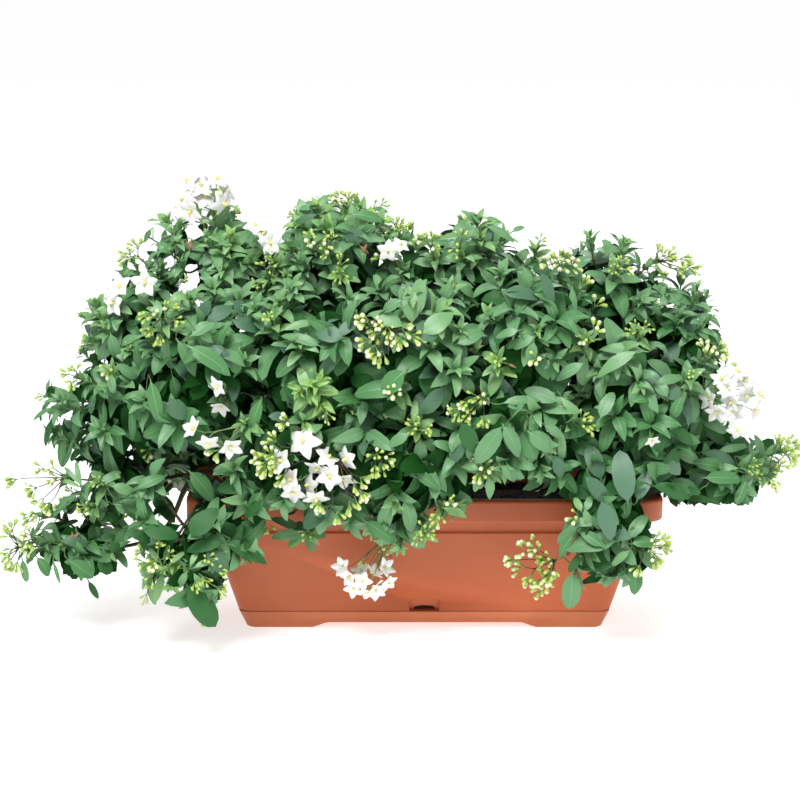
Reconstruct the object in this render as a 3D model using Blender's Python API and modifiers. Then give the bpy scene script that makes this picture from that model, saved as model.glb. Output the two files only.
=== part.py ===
"""Potato vine in a window-box planter.

A tapered plastic trough with a turned-down rim stands in a drip tray with two feet. The soil in it carries one
short woody stem. Boughs arch out from that stem, and each ends in a mass of leafy twigs with buds and flowers.

Metres, +Z up. The front is -Y. The origin is on the ground, under the middle of the plant's spread.
"""

import math
import random

import bmesh
import bpy
from mathutils import Matrix, Vector
from mathutils.bvhtree import BVHTree

# Driving dimensions of the planter.
PLANTER_X = 0.031
RIM_LENGTH, RIM_DEPTH = 0.600, 0.195
PLANTER_HEIGHT = 0.175
LIP_HEIGHT = 0.029
BAND_HEIGHT = 0.018
TOP_LENGTH, TOP_DEPTH = 0.556, 0.172
SEAM_LENGTH, SEAM_DEPTH = 0.474, 0.144
TRAY_LENGTH, TRAY_DEPTH = 0.456, 0.137
TRAY_HEIGHT = 0.0225
CORNER_RADIUS = 0.028
WALL = 0.0028
FOOT_HEIGHT = 0.0075
ARCH_LENGTH, ARCH_SLOPE = 0.288, 0.020
MOUTH_WIDTH, MOUTH_HEIGHT, MOUTH_DEPTH = 0.039, 0.017, 0.008
SOIL_DEPTH_BELOW_RIM = 0.022
SOIL_CLEARANCE = 0.0012
GAP = 0.0003
CORNER_STEPS = 4

# Driving dimensions of the plant.
SOIL_TOP = PLANTER_HEIGHT - SOIL_DEPTH_BELOW_RIM
TRUNK_HEIGHT = 0.090
TRUNK_RADII = (0.025, 0.0185, 0.015, 0.0135, 0.0135, 0.0145, 0.012)
TRUNK_LEAN = Vector((0.010, -0.004, 1.0))
TRUNK_SIDES_STEP = 4
BOUGH_RADIUS, SIDE_RADIUS, TIP_RADIUS = 0.0055, 0.0036, 0.0024
BOUGH_POINTS = 6
SHARE_STEP, FORK_LEAN = 0.05, 0.8
BOUGH_END_SHARE, BOUGH_END_INSET = 0.86, 0.004
CORE_SHARE, CORE_ROUGHNESS, CORE_INSET = 0.58, 0.12, 0.009
TWIGS, TWIG_SHARE = 5, 0.70
STEM_RADIUS, TWIG_RADIUS = 0.0032, 0.0019
LEAF_LENGTH, SHORTEST_LEAF = 0.095, 0.036
LEAF_WIDTH_SHARE, LEAF_THICK_SHARE, LEAF_ROOT = 0.50, 0.045, 0.0016
LEAVES_ON_TWIG, LEAVES_ON_CORE = 2, 11
GOLDEN_ANGLE = math.radians(137.5)
SPACE_MARGIN = 0.0008
RIM_CLEARANCE = 0.004
SEED = 7

# The way a mass grows: which way its stem runs in, as outward, forward and up shares.
RISING, SPREADING, HANGING = (0.5, 0.35, 1.0), (1.0, 0.1, 0.05), (0.25, 0.6, -1.0)

# Each mass: the middle of its space, its half sizes, its way of growing, and the limb that its bough leaves,
# with the share of that limb's length at which it does.
MASSES = {
    "left_mid": ((-0.350, -0.050, 0.290), (0.107, 0.100, 0.100), SPREADING, "trunk", 0.55),
    "front_left": ((-0.235, -0.115, 0.350), (0.110, 0.090, 0.115), RISING, "trunk", 0.85),
    "front_left_inner": ((-0.105, -0.130, 0.368), (0.110, 0.088, 0.110), RISING, "trunk", 0.65),
    "front_centre": ((0.025, -0.135, 0.372), (0.110, 0.088, 0.112), RISING, "trunk", 0.75),
    "front_right_inner": ((0.155, -0.130, 0.380), (0.110, 0.088, 0.110), RISING, "trunk", 0.50),
    "right_mid": ((0.280, -0.105, 0.325), (0.112, 0.098, 0.115), RISING, "trunk", 0.80),
    "top_left": ((-0.095, -0.010, 0.450), (0.125, 0.115, 0.105), RISING, "trunk", 0.97),
    "top_right": ((0.082, -0.010, 0.445), (0.125, 0.115, 0.102), RISING, "trunk", 0.95),
    "back_left": ((-0.310, 0.105, 0.320), (0.125, 0.110, 0.115), SPREADING, "trunk", 0.40),
    "back_left_inner": ((-0.130, 0.125, 0.350), (0.110, 0.095, 0.115), RISING, "trunk", 0.50),
    "back_right_inner": ((0.095, 0.125, 0.350), (0.115, 0.095, 0.115), RISING, "trunk", 0.60),
    "back_right": ((0.300, 0.105, 0.320), (0.125, 0.110, 0.115), SPREADING, "trunk", 0.70),
    "left_low": ((-0.372, -0.040, 0.192), (0.115, 0.085, 0.066), SPREADING, "left_mid", 0.68),
    "left_tip": ((-0.415, -0.060, 0.106), (0.100, 0.072, 0.058), SPREADING, "left_low", 0.80),
    "left_shoulder": ((-0.315, -0.015, 0.390), (0.098, 0.105, 0.098), RISING, "left_mid", 0.30),
    "left_cascade": ((-0.250, -0.148, 0.140), (0.105, 0.056, 0.116), HANGING, "front_left", 0.55),
    "left_top": ((-0.228, 0.000, 0.468), (0.098, 0.105, 0.103), RISING, "top_left", 0.40),
    "front_low_left": ((-0.125, -0.145, 0.258), (0.120, 0.072, 0.110), HANGING, "front_left_inner", 0.45),
    "front_low_centre": ((0.010, -0.145, 0.235), (0.105, 0.066, 0.145), HANGING, "front_centre", 0.50),
    "front_low_right": ((0.145, -0.140, 0.280), (0.118, 0.076, 0.108), HANGING, "front_right_inner", 0.50),
    "right_cascade": ((0.252, -0.150, 0.168), (0.108, 0.058, 0.112), HANGING, "right_mid", 0.60),
    "right_tip": ((0.414, -0.050, 0.208), (0.118, 0.076, 0.062), SPREADING, "right_mid", 0.35),
    "right_top": ((0.235, -0.010, 0.420), (0.115, 0.112, 0.102), RISING, "top_right", 0.45),
    "right_shoulder": ((0.355, -0.015, 0.345), (0.108, 0.100, 0.118), RISING, "back_right", 0.45),
    "back_low_left": ((-0.245, 0.150, 0.185), (0.120, 0.068, 0.090), HANGING, "back_left", 0.50),
    "back_low_centre": ((0.010, 0.152, 0.200), (0.130, 0.068, 0.090), HANGING, "back_left_inner", 0.45),
    "back_low_right": ((0.260, 0.150, 0.190), (0.120, 0.068, 0.090), HANGING, "back_right_inner", 0.45),
}

# The masses in flower: which way each one's flowers lie from its middle, and how many show from a step away.
FLOWERS = {
    "left_top": ((0.0, -0.1, 1.0), 4),
    "left_shoulder": ((-0.7, -0.3, 0.6), 1),
    "front_left": ((0.0, -1.0, -0.4), 2),
    "front_low_left": ((0.2, -1.0, 0.1), 4),
    "front_low_centre": ((-0.5, -0.5, -1.0), 2),
    "right_shoulder": ((1.0, -0.3, -0.3), 3),
    "back_left_inner": ((-0.3, 1.0, 0.6), 2),
    "back_right": ((0.3, 1.0, 0.2), 2),
}
FLOWER_RADIUS, FLOWER_THICKNESS = 0.021, 0.004
BUD_LENGTH, BUD_WIDTH, BUDS_ON_MASS = 0.032, 0.009, 2


def clear_scene():
    for obj in list(bpy.data.objects):
        bpy.data.objects.remove(obj)


def new_collection(name):
    collection = bpy.data.collections.new(name)
    bpy.context.scene.collection.children.link(collection)
    return collection


def new_material(name, color, roughness, metallic=0.0):
    material = bpy.data.materials.new(name)
    material.use_nodes = True
    shader = material.node_tree.nodes["Principled BSDF"]
    shader.inputs["Base Color"].default_value = (*color, 1.0)
    shader.inputs["Roughness"].default_value = roughness
    shader.inputs["Metallic"].default_value = metallic
    return material


def new_object(name, data, collection, material=None):
    obj = bpy.data.objects.new(name, data)
    collection.objects.link(obj)
    if material:
        obj.data.materials.append(material)
    return obj


def mesh_from(bm, name):
    mesh = bpy.data.meshes.new(name)
    bm.to_mesh(mesh)
    bm.free()
    return mesh


def smooth(mesh):
    mesh.shade_smooth()
    mesh.set_sharp_from_angle(angle=math.radians(40))
    return mesh


# The planter: rounded oblong sections, one above the other, skinned into a tapered form.


def oblong(length, depth, height, radius):
    """Points round an oblong with rounded corners, at one height."""
    points = []
    for corner in range(4):
        middle = Vector((
            (length / 2 - radius) * (1 if corner in (0, 3) else -1),
            (depth / 2 - radius) * (1 if corner in (0, 1) else -1),
            height,
        ))
        for step in range(CORNER_STEPS + 1):
            angle = math.radians(90) * (corner + step / CORNER_STEPS)
            points.append(middle + radius * Vector((math.cos(angle), math.sin(angle), 0)))
    return points


def skin(sections, name):
    """A closed form through oblong sections, each given as length, depth, height and corner radius."""
    bm = bmesh.new()
    rings = [[bm.verts.new(point) for point in oblong(*section)] for section in sections]
    for lower, upper in zip(rings, rings[1:]):
        for i, vert in enumerate(lower):
            j = (i + 1) % len(lower)
            bm.faces.new((vert, lower[j], upper[j], upper[i]))
    bm.faces.new(reversed(rings[0]))
    bm.faces.new(rings[-1])
    bmesh.ops.recalc_face_normals(bm, faces=bm.faces)
    return smooth(mesh_from(bm, name))


def trough_size(height):
    """Length and depth of the trough's outside at a height between the seam and the rim."""
    share = (height - TRAY_HEIGHT) / (PLANTER_HEIGHT - LIP_HEIGHT - TRAY_HEIGHT)
    return (
        SEAM_LENGTH + (TOP_LENGTH - SEAM_LENGTH) * share,
        SEAM_DEPTH + (TOP_DEPTH - SEAM_DEPTH) * share,
    )


def trough_sections():
    """Up the outside, under and over the turned-down rim, and down the inside to the floor."""
    lip_foot = PLANTER_HEIGHT - LIP_HEIGHT
    band_foot = lip_foot - BAND_HEIGHT
    under_rim = PLANTER_HEIGHT - 1.6 * WALL
    floor = FOOT_HEIGHT + WALL + GAP
    inset = 2 * (WALL + 2 * GAP)
    radius = CORNER_RADIUS
    return [
        (TRAY_LENGTH - inset, TRAY_DEPTH - inset, floor, radius - 0.006),
        (SEAM_LENGTH - inset, SEAM_DEPTH - inset, TRAY_HEIGHT + GAP, radius - 0.006),
        (SEAM_LENGTH, SEAM_DEPTH, TRAY_HEIGHT + GAP, radius - 0.004),
        (*trough_size(band_foot), band_foot, radius),
        (*[size - 0.004 for size in trough_size(band_foot)], band_foot + 0.004, radius),
        (*[size - 0.002 for size in trough_size(lip_foot)], lip_foot, radius),
        (TOP_LENGTH, TOP_DEPTH, under_rim, radius),
        (RIM_LENGTH - 2 * WALL, RIM_DEPTH - 2 * WALL, under_rim, radius - WALL),
        (RIM_LENGTH - 2 * WALL, RIM_DEPTH - 2 * WALL, lip_foot, radius - WALL),
        (RIM_LENGTH - 0.002, RIM_DEPTH - 0.002, lip_foot, radius),
        (RIM_LENGTH, RIM_DEPTH, lip_foot + 0.002, radius),
        (RIM_LENGTH, RIM_DEPTH, PLANTER_HEIGHT - 0.004, radius),
        (RIM_LENGTH - 0.007, RIM_DEPTH - 0.007, PLANTER_HEIGHT, radius - 0.003),
        (TOP_LENGTH + 0.004, TOP_DEPTH + 0.004, PLANTER_HEIGHT, radius - 0.003),
        (TOP_LENGTH - 2 * WALL, TOP_DEPTH - 2 * WALL, PLANTER_HEIGHT - 0.008, radius - 0.006),
        (TRAY_LENGTH - inset - 2 * WALL, TRAY_DEPTH - inset - 2 * WALL, floor + WALL, radius - 0.010),
    ]


def box_mesh(size, middle, name):
    bm = bmesh.new()
    bmesh.ops.create_cube(bm, size=1.0)
    bmesh.ops.scale(bm, vec=size, verts=bm.verts)
    bmesh.ops.translate(bm, vec=middle, verts=bm.verts)
    return mesh_from(bm, name)


def cut(obj, cutter):
    """Cuts one object from another with a Boolean modifier, and keeps the cutter as a hidden guide."""
    cutter.hide_render = True
    cutter.display_type = "WIRE"
    modifier = obj.modifiers.new("Cut " + cutter.name, "BOOLEAN")
    modifier.operation = "DIFFERENCE"
    modifier.solver = "EXACT"
    modifier.object = cutter


def build_trough(parts, cutters, plastic):
    trough = new_object("planter_trough", skin(trough_sections(), "planter_trough"), parts, plastic)
    trough.location.x = PLANTER_X
    front = -trough_size(TRAY_HEIGHT)[1] / 2
    mouth = box_mesh(
        Vector((MOUTH_WIDTH, 2 * MOUTH_DEPTH, 2 * MOUTH_HEIGHT)),
        Vector((PLANTER_X, front, TRAY_HEIGHT)),
        "overflow_mouth_cutter",
    )
    cutter = new_object("overflow_mouth_cutter", mouth, cutters)
    bevel = cutter.modifiers.new("Round corners", "BEVEL")
    bevel.width = 0.005
    bevel.segments = 2
    cut(trough, cutter)
    return trough


def build_tray(parts, cutters, plastic):
    """An open pan whose middle stands clear of the ground between two feet."""
    radius = CORNER_RADIUS - 0.004
    pan = [
        (TRAY_LENGTH - 0.008, TRAY_DEPTH - 0.008, 0.0, radius - 0.004),
        (TRAY_LENGTH, TRAY_DEPTH, 0.004, radius),
        (SEAM_LENGTH, SEAM_DEPTH, TRAY_HEIGHT, radius),
        (SEAM_LENGTH - 2 * WALL, SEAM_DEPTH - 2 * WALL, TRAY_HEIGHT, radius - WALL),
        (TRAY_LENGTH - 2 * WALL, TRAY_DEPTH - 2 * WALL, FOOT_HEIGHT + WALL, radius - WALL),
    ]
    tray = new_object("drip_tray", skin(pan, "drip_tray"), parts, plastic)
    tray.location.x = PLANTER_X
    outline = bpy.data.curves.new("tray_arch", "CURVE")
    outline.dimensions = "2D"
    outline.fill_mode = "BOTH"
    outline.extrude = TRAY_DEPTH
    spline = outline.splines.new("POLY")
    foot, top = ARCH_LENGTH / 2, ARCH_LENGTH / 2 - ARCH_SLOPE
    right_side = ((foot, -0.001), (foot - 0.001, 0.0), (top, FOOT_HEIGHT))
    corners = list(right_side) + [(-x, z) for x, z in reversed(right_side)]
    spline.points.add(len(corners) - 1)
    for point, (x, z) in zip(spline.points, corners):
        point.co = (x, z, 0.0, 1.0)
    spline.use_cyclic_u = True
    guide = new_object("tray_arch_guide", outline, cutters)
    guide.rotation_euler.x = math.radians(90)
    guide.location.x = PLANTER_X
    cut(tray, as_mesh(guide, "tray_arch_cutter", cutters))
    return tray


def build_soil(parts, earth):
    """Potting soil that fills the trough to a little below the rim, clear of its walls."""
    floor = FOOT_HEIGHT + 2 * WALL + 2 * GAP
    inset = 2 * (WALL + 2 * GAP) + 2 * WALL
    rim_foot = PLANTER_HEIGHT - 0.008
    share = (SOIL_TOP - floor) / (rim_foot - floor)
    low = (TRAY_LENGTH - inset, TRAY_DEPTH - inset)
    high = (TOP_LENGTH - 2 * WALL, TOP_DEPTH - 2 * WALL)
    top = [a + (b - a) * share - SOIL_CLEARANCE for a, b in zip(low, high)]
    sections = [
        (low[0] - SOIL_CLEARANCE, low[1] - SOIL_CLEARANCE, floor, CORNER_RADIUS - 0.010),
        (*top, SOIL_TOP, CORNER_RADIUS - 0.006),
    ]
    soil = new_object("soil", skin(sections, "soil"), parts, earth)
    soil.location.x = PLANTER_X
    return soil


# The limbs: tapering tubes along smooth curves.


def as_mesh(obj, name, collection):
    """The mesh of a curve object, welded, as a new object in its place."""
    bpy.context.view_layer.update()
    graph = bpy.context.evaluated_depsgraph_get()
    mesh = bpy.data.meshes.new_from_object(obj.evaluated_get(graph))
    bm = bmesh.new()
    bm.from_mesh(mesh)
    bmesh.ops.remove_doubles(bm, verts=bm.verts, dist=1e-6)
    bmesh.ops.recalc_face_normals(bm, faces=bm.faces)
    bm.to_mesh(mesh)
    bm.free()
    made = bpy.data.objects.new(name, mesh)
    made.matrix_world = obj.matrix_world
    collection.objects.link(made)
    bpy.data.objects.remove(obj)
    return made


def limb(name, path, radii, sides_step, collection, material):
    """A tapering tube along a path, as a mesh object."""
    curve = bpy.data.curves.new(name, "CURVE")
    curve.dimensions = "3D"
    curve.bevel_depth = 1.0
    curve.bevel_resolution = sides_step
    curve.use_fill_caps = True
    spline = curve.splines.new("POLY")
    spline.points.add(len(path) - 1)
    for point, place, radius in zip(spline.points, path, radii):
        point.co = (*place, 1.0)
        point.radius = radius
    tube = new_object(name + "_line", curve, collection)
    made = as_mesh(tube, name, collection)
    smooth(made.data).materials.clear()
    made.data.materials.append(material)
    return made


def tree_of(meshes):
    """One search tree for the surfaces of several meshes."""
    verts, faces = [], []
    for mesh in meshes:
        base = len(verts)
        verts += [v.co.copy() for v in mesh.vertices]
        faces += [[base + i for i in p.vertices] for p in mesh.polygons]
    return BVHTree.FromPolygons(verts, faces)


def bend(start, start_way, end, end_way, count):
    """Points along a smooth curve that leaves start one way and comes to end another way."""
    reach = (end - start).length * 0.38
    a, b, c, d = start, start + start_way * reach, end - end_way * reach, end
    points = []
    for i in range(count):
        t = i / (count - 1)
        points.append(a * (1 - t) ** 3 + b * 3 * t * (1 - t) ** 2 + c * 3 * t * t * (1 - t) + d * t ** 3)
    return points


def along(path, share):
    """The place and direction at a share of a path's points."""
    place = share * (len(path) - 1)
    i = min(int(place), len(path) - 2)
    step = path[i + 1] - path[i]
    return path[i] + step * (place - i), step.normalized()


def outward_of(middle):
    """The level way out from the planter's long middle line."""
    line_x = max(min(middle.x - PLANTER_X, 0.12), -0.12) + PLANTER_X
    way = Vector((middle.x - line_x, middle.y, 0.0))
    return way.normalized() if way.length > 0.01 else Vector((0.0, -0.1, 0.0)).normalized()


def growing_way(middle, habit):
    out, forward, up = habit
    ahead = Vector((0.0, 1.0 if middle.y > 0.02 else -1.0, 0.0))
    level = outward_of(middle)
    return (level * out + ahead * forward + Vector((0.0, 0.0, up))).normalized()


def reach_in(way, half):
    """How far an ellipsoid with these half sizes reaches one way from its middle."""
    return 1.0 / math.sqrt(sum((w / h) ** 2 for w, h in zip(way, half)))


def space_reach(way, half, planes, share, inset):
    """How far one way a mass may go: a share of its ellipsoid, and no nearer a neighbour's than an inset."""
    limits = [(limit - inset) / way.dot(to) for to, limit in planes if way.dot(to) > 0.05]
    return min([reach_in(way, half) * share] + limits)


def seat(point, way, radius, surface):
    """Moves a limb's round end along its way until it stands a gap clear of the limb that carries it."""
    side = way.orthogonal().normalized()
    other = way.cross(side)
    spots = [Vector((0.0, 0.0, 0.0))]
    for share in (0.5, 1.0):
        for i in range(8):
            angle = math.radians(45) * i
            spots.append((side * math.cos(angle) + other * math.sin(angle)) * radius * share)
    for _ in range(12):
        nearest = min(surface.find_nearest(point + spot)[3] for spot in spots)
        point = point + way * (GAP - nearest)
    return point


def build_trunk(parts, bark):
    """A short woody stem with a flared foot, cut flat where it stands on the soil."""
    foot = Vector((PLANTER_X, 0.0, SOIL_TOP + GAP))
    count = len(TRUNK_RADII)
    path = []
    for i in range(count):
        share = i / (count - 1)
        lean = Vector((TRUNK_LEAN.x * share ** 2, TRUNK_LEAN.y * share ** 2, TRUNK_HEIGHT * share))
        path.append(foot + lean)
    path[1] = path[0] + Vector((0.0, 0.0, path[1].z - path[0].z))
    trunk = limb("trunk", path, TRUNK_RADII, TRUNK_SIDES_STEP, parts, bark)
    return trunk, path


def build_boughs(parts, bark, planter):
    """Every mass's bough, the ones from the trunk first. Gives each one's object and path.

    A bough that would touch another limb or the planter leaves its parent a little further along or back.
    """
    trunk, trunk_path = build_trunk(parts, bark)
    limbs = {"trunk": (trunk, trunk_path)}
    for name, (middle, half, habit, parent, share) in MASSES.items():
        middle = Vector(middle)
        end_way = growing_way(middle, habit)
        planes = cell_planes(name)
        end = middle - end_way * space_reach(-end_way, half, planes, BOUGH_END_SHARE, BOUGH_END_INSET)
        carrier, carrier_path = limbs[parent]
        carrier_tree = tree_of([carrier.data])
        others = tree_of([planter] + [made.data for made, _ in limbs.values()])
        radius = BOUGH_RADIUS if parent == "trunk" else SIDE_RADIUS
        taper = [radius + (TIP_RADIUS - radius) * i / (BOUGH_POINTS - 1) for i in range(BOUGH_POINTS)]
        for step in range(12):
            tried = share + SHARE_STEP * ((step + 1) // 2) * (-1 if step % 2 else 1)
            place, run = along(carrier_path, min(max(tried, 0.12), 0.97))
            aim = end - place
            way = ((aim - run * aim.dot(run)).normalized() + run * FORK_LEAN).normalized()
            start = seat(place + way * 0.030, way, radius, carrier_tree)
            path = bend(start, way, end, end_way, BOUGH_POINTS)
            path[1] = start + way * (path[1] - start).length
            bough = limb("bough_" + name, path, taper, 1, parts, bark)
            if not tree_of([bough.data]).overlap(others):
                break
            if step < 11:
                bpy.data.objects.remove(bough)
        limbs[name] = (bough, path)
    return limbs


# The masses of foliage: twigs that branch from one stem, with leaves, buds and flowers fused on.


def placed(mesh, origin, way, face):
    """Turns a mesh that runs along +Z, with its face to +Y, to run along way with its face towards face."""
    z = way.normalized()
    y = (face - z * face.dot(z))
    y = y.normalized() if y.length > 1e-4 else z.orthogonal().normalized()
    x = y.cross(z)
    turn = Matrix((x, y, z)).transposed().to_4x4()
    mesh.transform(Matrix.Translation(origin) @ turn)
    return mesh


def taper_mesh(start, end, radius, tip_radius, sides):
    """A straight tapering stick."""
    bm = bmesh.new()
    length = (end - start).length
    bmesh.ops.create_cone(
        bm, cap_ends=True, segments=sides, radius1=radius, radius2=tip_radius, depth=length
    )
    bmesh.ops.translate(bm, vec=(0.0, 0.0, length / 2), verts=bm.verts)
    return placed(mesh_from(bm, "stick"), start, end - start, Vector((0.1, 0.2, 1.0)))


def blade_mesh(length, width, thickness, root, widest, droop):
    """A blade with a ridge along its face: three sides out to its widest ring, and three more to its tip."""
    bm = bmesh.new()
    bmesh.ops.create_cone(bm, cap_ends=True, segments=3, radius1=1.0, radius2=1.0, depth=1.0)
    top = max(bm.faces, key=lambda f: f.calc_center_median().z)
    tip = bmesh.ops.poke(bm, faces=[top])["verts"][0]
    for vert in bm.verts:
        if vert is tip:
            vert.co = Vector((0.0, -droop * length, length))
            continue
        high = vert.co.z > 0
        across, up = (width, thickness) if high else (root, root * thickness / width)
        ridge = abs(vert.co.x) < 0.1
        vert.co = Vector((
            0.0 if ridge else math.copysign(across / 2, vert.co.x),
            up * (0.7 if ridge else -0.3),
            length * widest if high else 0.0,
        ))
    bmesh.ops.recalc_face_normals(bm, faces=bm.faces)
    return mesh_from(bm, "blade")


def flower_mesh():
    """A five-pointed star, thickest in its middle."""
    bm = bmesh.new()
    bmesh.ops.create_uvsphere(bm, u_segments=10, v_segments=2, radius=1.0)
    rim = sorted((v for v in bm.verts if abs(v.co.z) < 0.5), key=lambda v: math.atan2(v.co.y, v.co.x))
    for i, vert in enumerate(rim):
        vert.co *= FLOWER_RADIUS * (1.0 if i % 2 else 0.42)
    for vert in bm.verts:
        if vert not in rim:
            vert.co.z *= FLOWER_THICKNESS / 2
    return mesh_from(bm, "flower")


def cell_planes(name):
    """The planes that part a mass's space from its neighbours': each a direction and how far along it."""
    middle, half = Vector(MASSES[name][0]), MASSES[name][1]
    size = sum(half) / 3
    planes = []
    for other, (place, other_half, *_) in MASSES.items():
        if other == name:
            continue
        apart = Vector(place) - middle
        share = (size ** 2 - (sum(other_half) / 3) ** 2) / apart.length_squared
        planes.append((apart.normalized(), apart.length * (1 + share) / 2))
    return planes


def keeps_in(points, middle, half, planes):
    """Whether every point lies in a mass's own space, clear of the ground and of the planter."""
    for point in points:
        off = point - middle
        if sum((o / h) ** 2 for o, h in zip(off, half)) > 1.0 or point.z < 0.006:
            return False
        if any(off.dot(way) > limit - SPACE_MARGIN for way, limit in planes):
            return False
    return True


def rim_guard():
    """A block round the planter, a little larger than it, that no leaf may enter."""
    size = Vector((
        RIM_LENGTH + 2 * RIM_CLEARANCE, RIM_DEPTH + 2 * RIM_CLEARANCE, PLANTER_HEIGHT + RIM_CLEARANCE
    ))
    return size, Vector((PLANTER_X, 0.0, size.z / 2))


def in_guard(point):
    size, middle = rim_guard()
    return all(abs(p - m) < s / 2 for p, m, s in zip(point, middle, size))


def grow_mass(name, stem_start, stem_way, obstacles, rng):
    """The meshes of one mass: its stem, then twigs over its space with their leaves, buds and flowers."""
    middle, half = Vector(MASSES[name][0]), MASSES[name][1]
    planes = cell_planes(name)
    made, trees = [], []

    def fits(mesh, carriers=()):
        """Whether a bit keeps to the space, and crosses no limb and no bit but those that carry it."""
        points = [v.co for v in mesh.vertices]
        if not keeps_in(points, middle, half, planes) or any(in_guard(p) for p in points):
            return False
        tree = tree_of([mesh])
        if tree.overlap(obstacles):
            return False
        return not any(tree.overlap(other) for bit, other in zip(made, trees) if bit not in carriers)

    def keep(mesh):
        made.append(mesh)
        trees.append(tree_of([mesh]))

    length = (middle - stem_start).length * 1.15
    stem = taper_mesh(stem_start, stem_start + stem_way * length, TIP_RADIUS, STEM_RADIUS, 4)
    while tree_of([stem]).overlap(obstacles):
        length *= 0.85
        stem = taper_mesh(stem_start, stem_start + stem_way * length, TIP_RADIUS, STEM_RADIUS, 4)
    stem_end = stem_start + stem_way * length
    keep(stem)
    core_share = CORE_SHARE
    core = core_mesh(middle, half, planes, core_share, rng)
    while not fits(core, made):
        core_share *= 0.94
        core = core_mesh(middle, half, planes, core_share, rng)
    keep(core)
    flower_way, flowers = FLOWERS.get(name, (None, 0))
    twigs = []
    for way in twig_ways(name, middle, flower_way, rng):
        if len(twigs) == TWIGS:
            break
        start = stem_start + (stem_end - stem_start) * (0.50 + 0.45 * len(twigs) / TWIGS)
        end = middle + way * reach_in(way, half) * TWIG_SHARE
        twig = taper_mesh(start, end, TWIG_RADIUS, TWIG_RADIUS, 3)
        if fits(twig, made):
            keep(twig)
            twigs.append((twig, start, end, way))
    if flower_way:
        twig, start, end, way = twigs[0]
        flower_head(end, way, flowers, twig, fits, keep, rng)

    def add_leaf(origin, way, face, carrier):
        length = LEAF_LENGTH
        while length > SHORTEST_LEAF:
            leaf = blade_mesh(
                length, length * LEAF_WIDTH_SHARE, length * LEAF_THICK_SHARE, LEAF_ROOT, 0.42, 0.10
            )
            placed(leaf, origin, way, face)
            if fits(leaf, [carrier]):
                keep(leaf)
                return True
            length *= 0.90
        return False

    for number, (twig, start, end, way) in enumerate(twigs):
        run = (end - start).normalized()
        side = run.orthogonal().normalized()
        for n in range(LEAVES_ON_TWIG):
            round_way = Matrix.Rotation(math.radians(180) * n + 2.1 * number, 3, run) @ side
            spread = math.radians(rng.uniform(48, 66))
            leaf_way = run * math.cos(spread) + round_way * math.sin(spread)
            add_leaf(end - run * (0.004 + 0.008 * n), leaf_way, way, twig)
    for k in range(3 * LEAVES_ON_CORE):
        way = sphere_way(k, 3 * LEAVES_ON_CORE, len(name))
        if any(way.angle(other[3]) < math.radians(24) for other in twigs):
            continue
        side = Matrix.Rotation(GOLDEN_ANGLE * k, 3, way) @ way.orthogonal().normalized()
        origin = middle + way * space_reach(way, half, planes, core_share, CORE_INSET) * 0.80
        add_leaf(origin, way * 0.75 + side, way, core)
    buds_left = BUDS_ON_MASS
    for number, (twig, start, end, way) in enumerate(twigs[1:] if flower_way else twigs):
        run = (end - start).normalized()
        side = run.orthogonal().normalized()
        for n in range(buds_left):
            bud_way = run + (Matrix.Rotation(math.radians(120) * n + number, 3, run) @ side) * 0.55
            club = blade_mesh(BUD_LENGTH, BUD_WIDTH, BUD_WIDTH, LEAF_ROOT, 0.78, 0.0)
            if fits(placed(club, end - run * 0.003, bud_way, run), [twig]):
                keep(club)
                buds_left -= 1
    return made


def core_mesh(middle, half, planes, share, rng):
    """The close inner growth of a dense mass, as one rough lump."""
    bm = bmesh.new()
    bmesh.ops.create_uvsphere(bm, u_segments=7, v_segments=4, radius=1.0)
    for vert in bm.verts:
        way = vert.co.normalized()
        reach = space_reach(way, half, planes, share, CORE_INSET)
        vert.co = middle + way * reach * (1 - rng.uniform(0, CORE_ROUGHNESS))
    bmesh.ops.triangulate(bm, faces=bm.faces)
    return mesh_from(bm, "core")


def sphere_way(k, count, turn):
    """The k-th of several ways spread evenly over a sphere."""
    height = 1 - 2 * (k + 0.5) / count
    ring = math.sqrt(1 - height * height)
    angle = GOLDEN_ANGLE * k + turn
    return Vector((ring * math.cos(angle), ring * math.sin(angle), height))


def twig_ways(name, middle, flower_way, rng):
    """Ways from a mass's middle for its twigs, spread over the side that faces out from the planter."""
    heart = Vector((PLANTER_X + (middle.x - PLANTER_X) * 0.45, 0.0, PLANTER_HEIGHT))
    outward = (middle - heart).normalized()
    ways = [sphere_way(k, 60, len(name)) for k in range(60)]
    ways = [way for way in ways if way.dot(outward) > -0.35]
    rng.shuffle(ways)
    chosen = [Vector(flower_way).normalized()] if flower_way else []
    for way in ways:
        if all(way.angle(other) > math.radians(46) for other in chosen):
            chosen.append(way)
    return chosen


def flower_head(end, way, count, twig, fits, keep, rng):
    """Stalks that fan out from a twig's end, each with an open flower facing out."""
    side = way.orthogonal().normalized()
    for n in range(count):
        angle = math.radians(360) * n / max(count, 1) + 0.4
        lean = 0.0 if count == 1 else 0.85
        stalk_way = (way + (Matrix.Rotation(angle, 3, way) @ side) * lean).normalized()
        stalk_end = end + stalk_way * 0.030
        stalk = taper_mesh(end - way * 0.004, stalk_end, 0.0011, 0.0011, 3)
        face = (stalk_way + way + Vector((0.0, -1.4 if way.y < 0.3 else 1.4, 0.0))).normalized()
        star = placed(flower_mesh(), stalk_end, face, Vector((rng.uniform(-1, 1), 0.2, 1.0)))
        if fits(stalk, [twig]) and fits(star):
            keep(stalk)
            keep(star)


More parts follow.
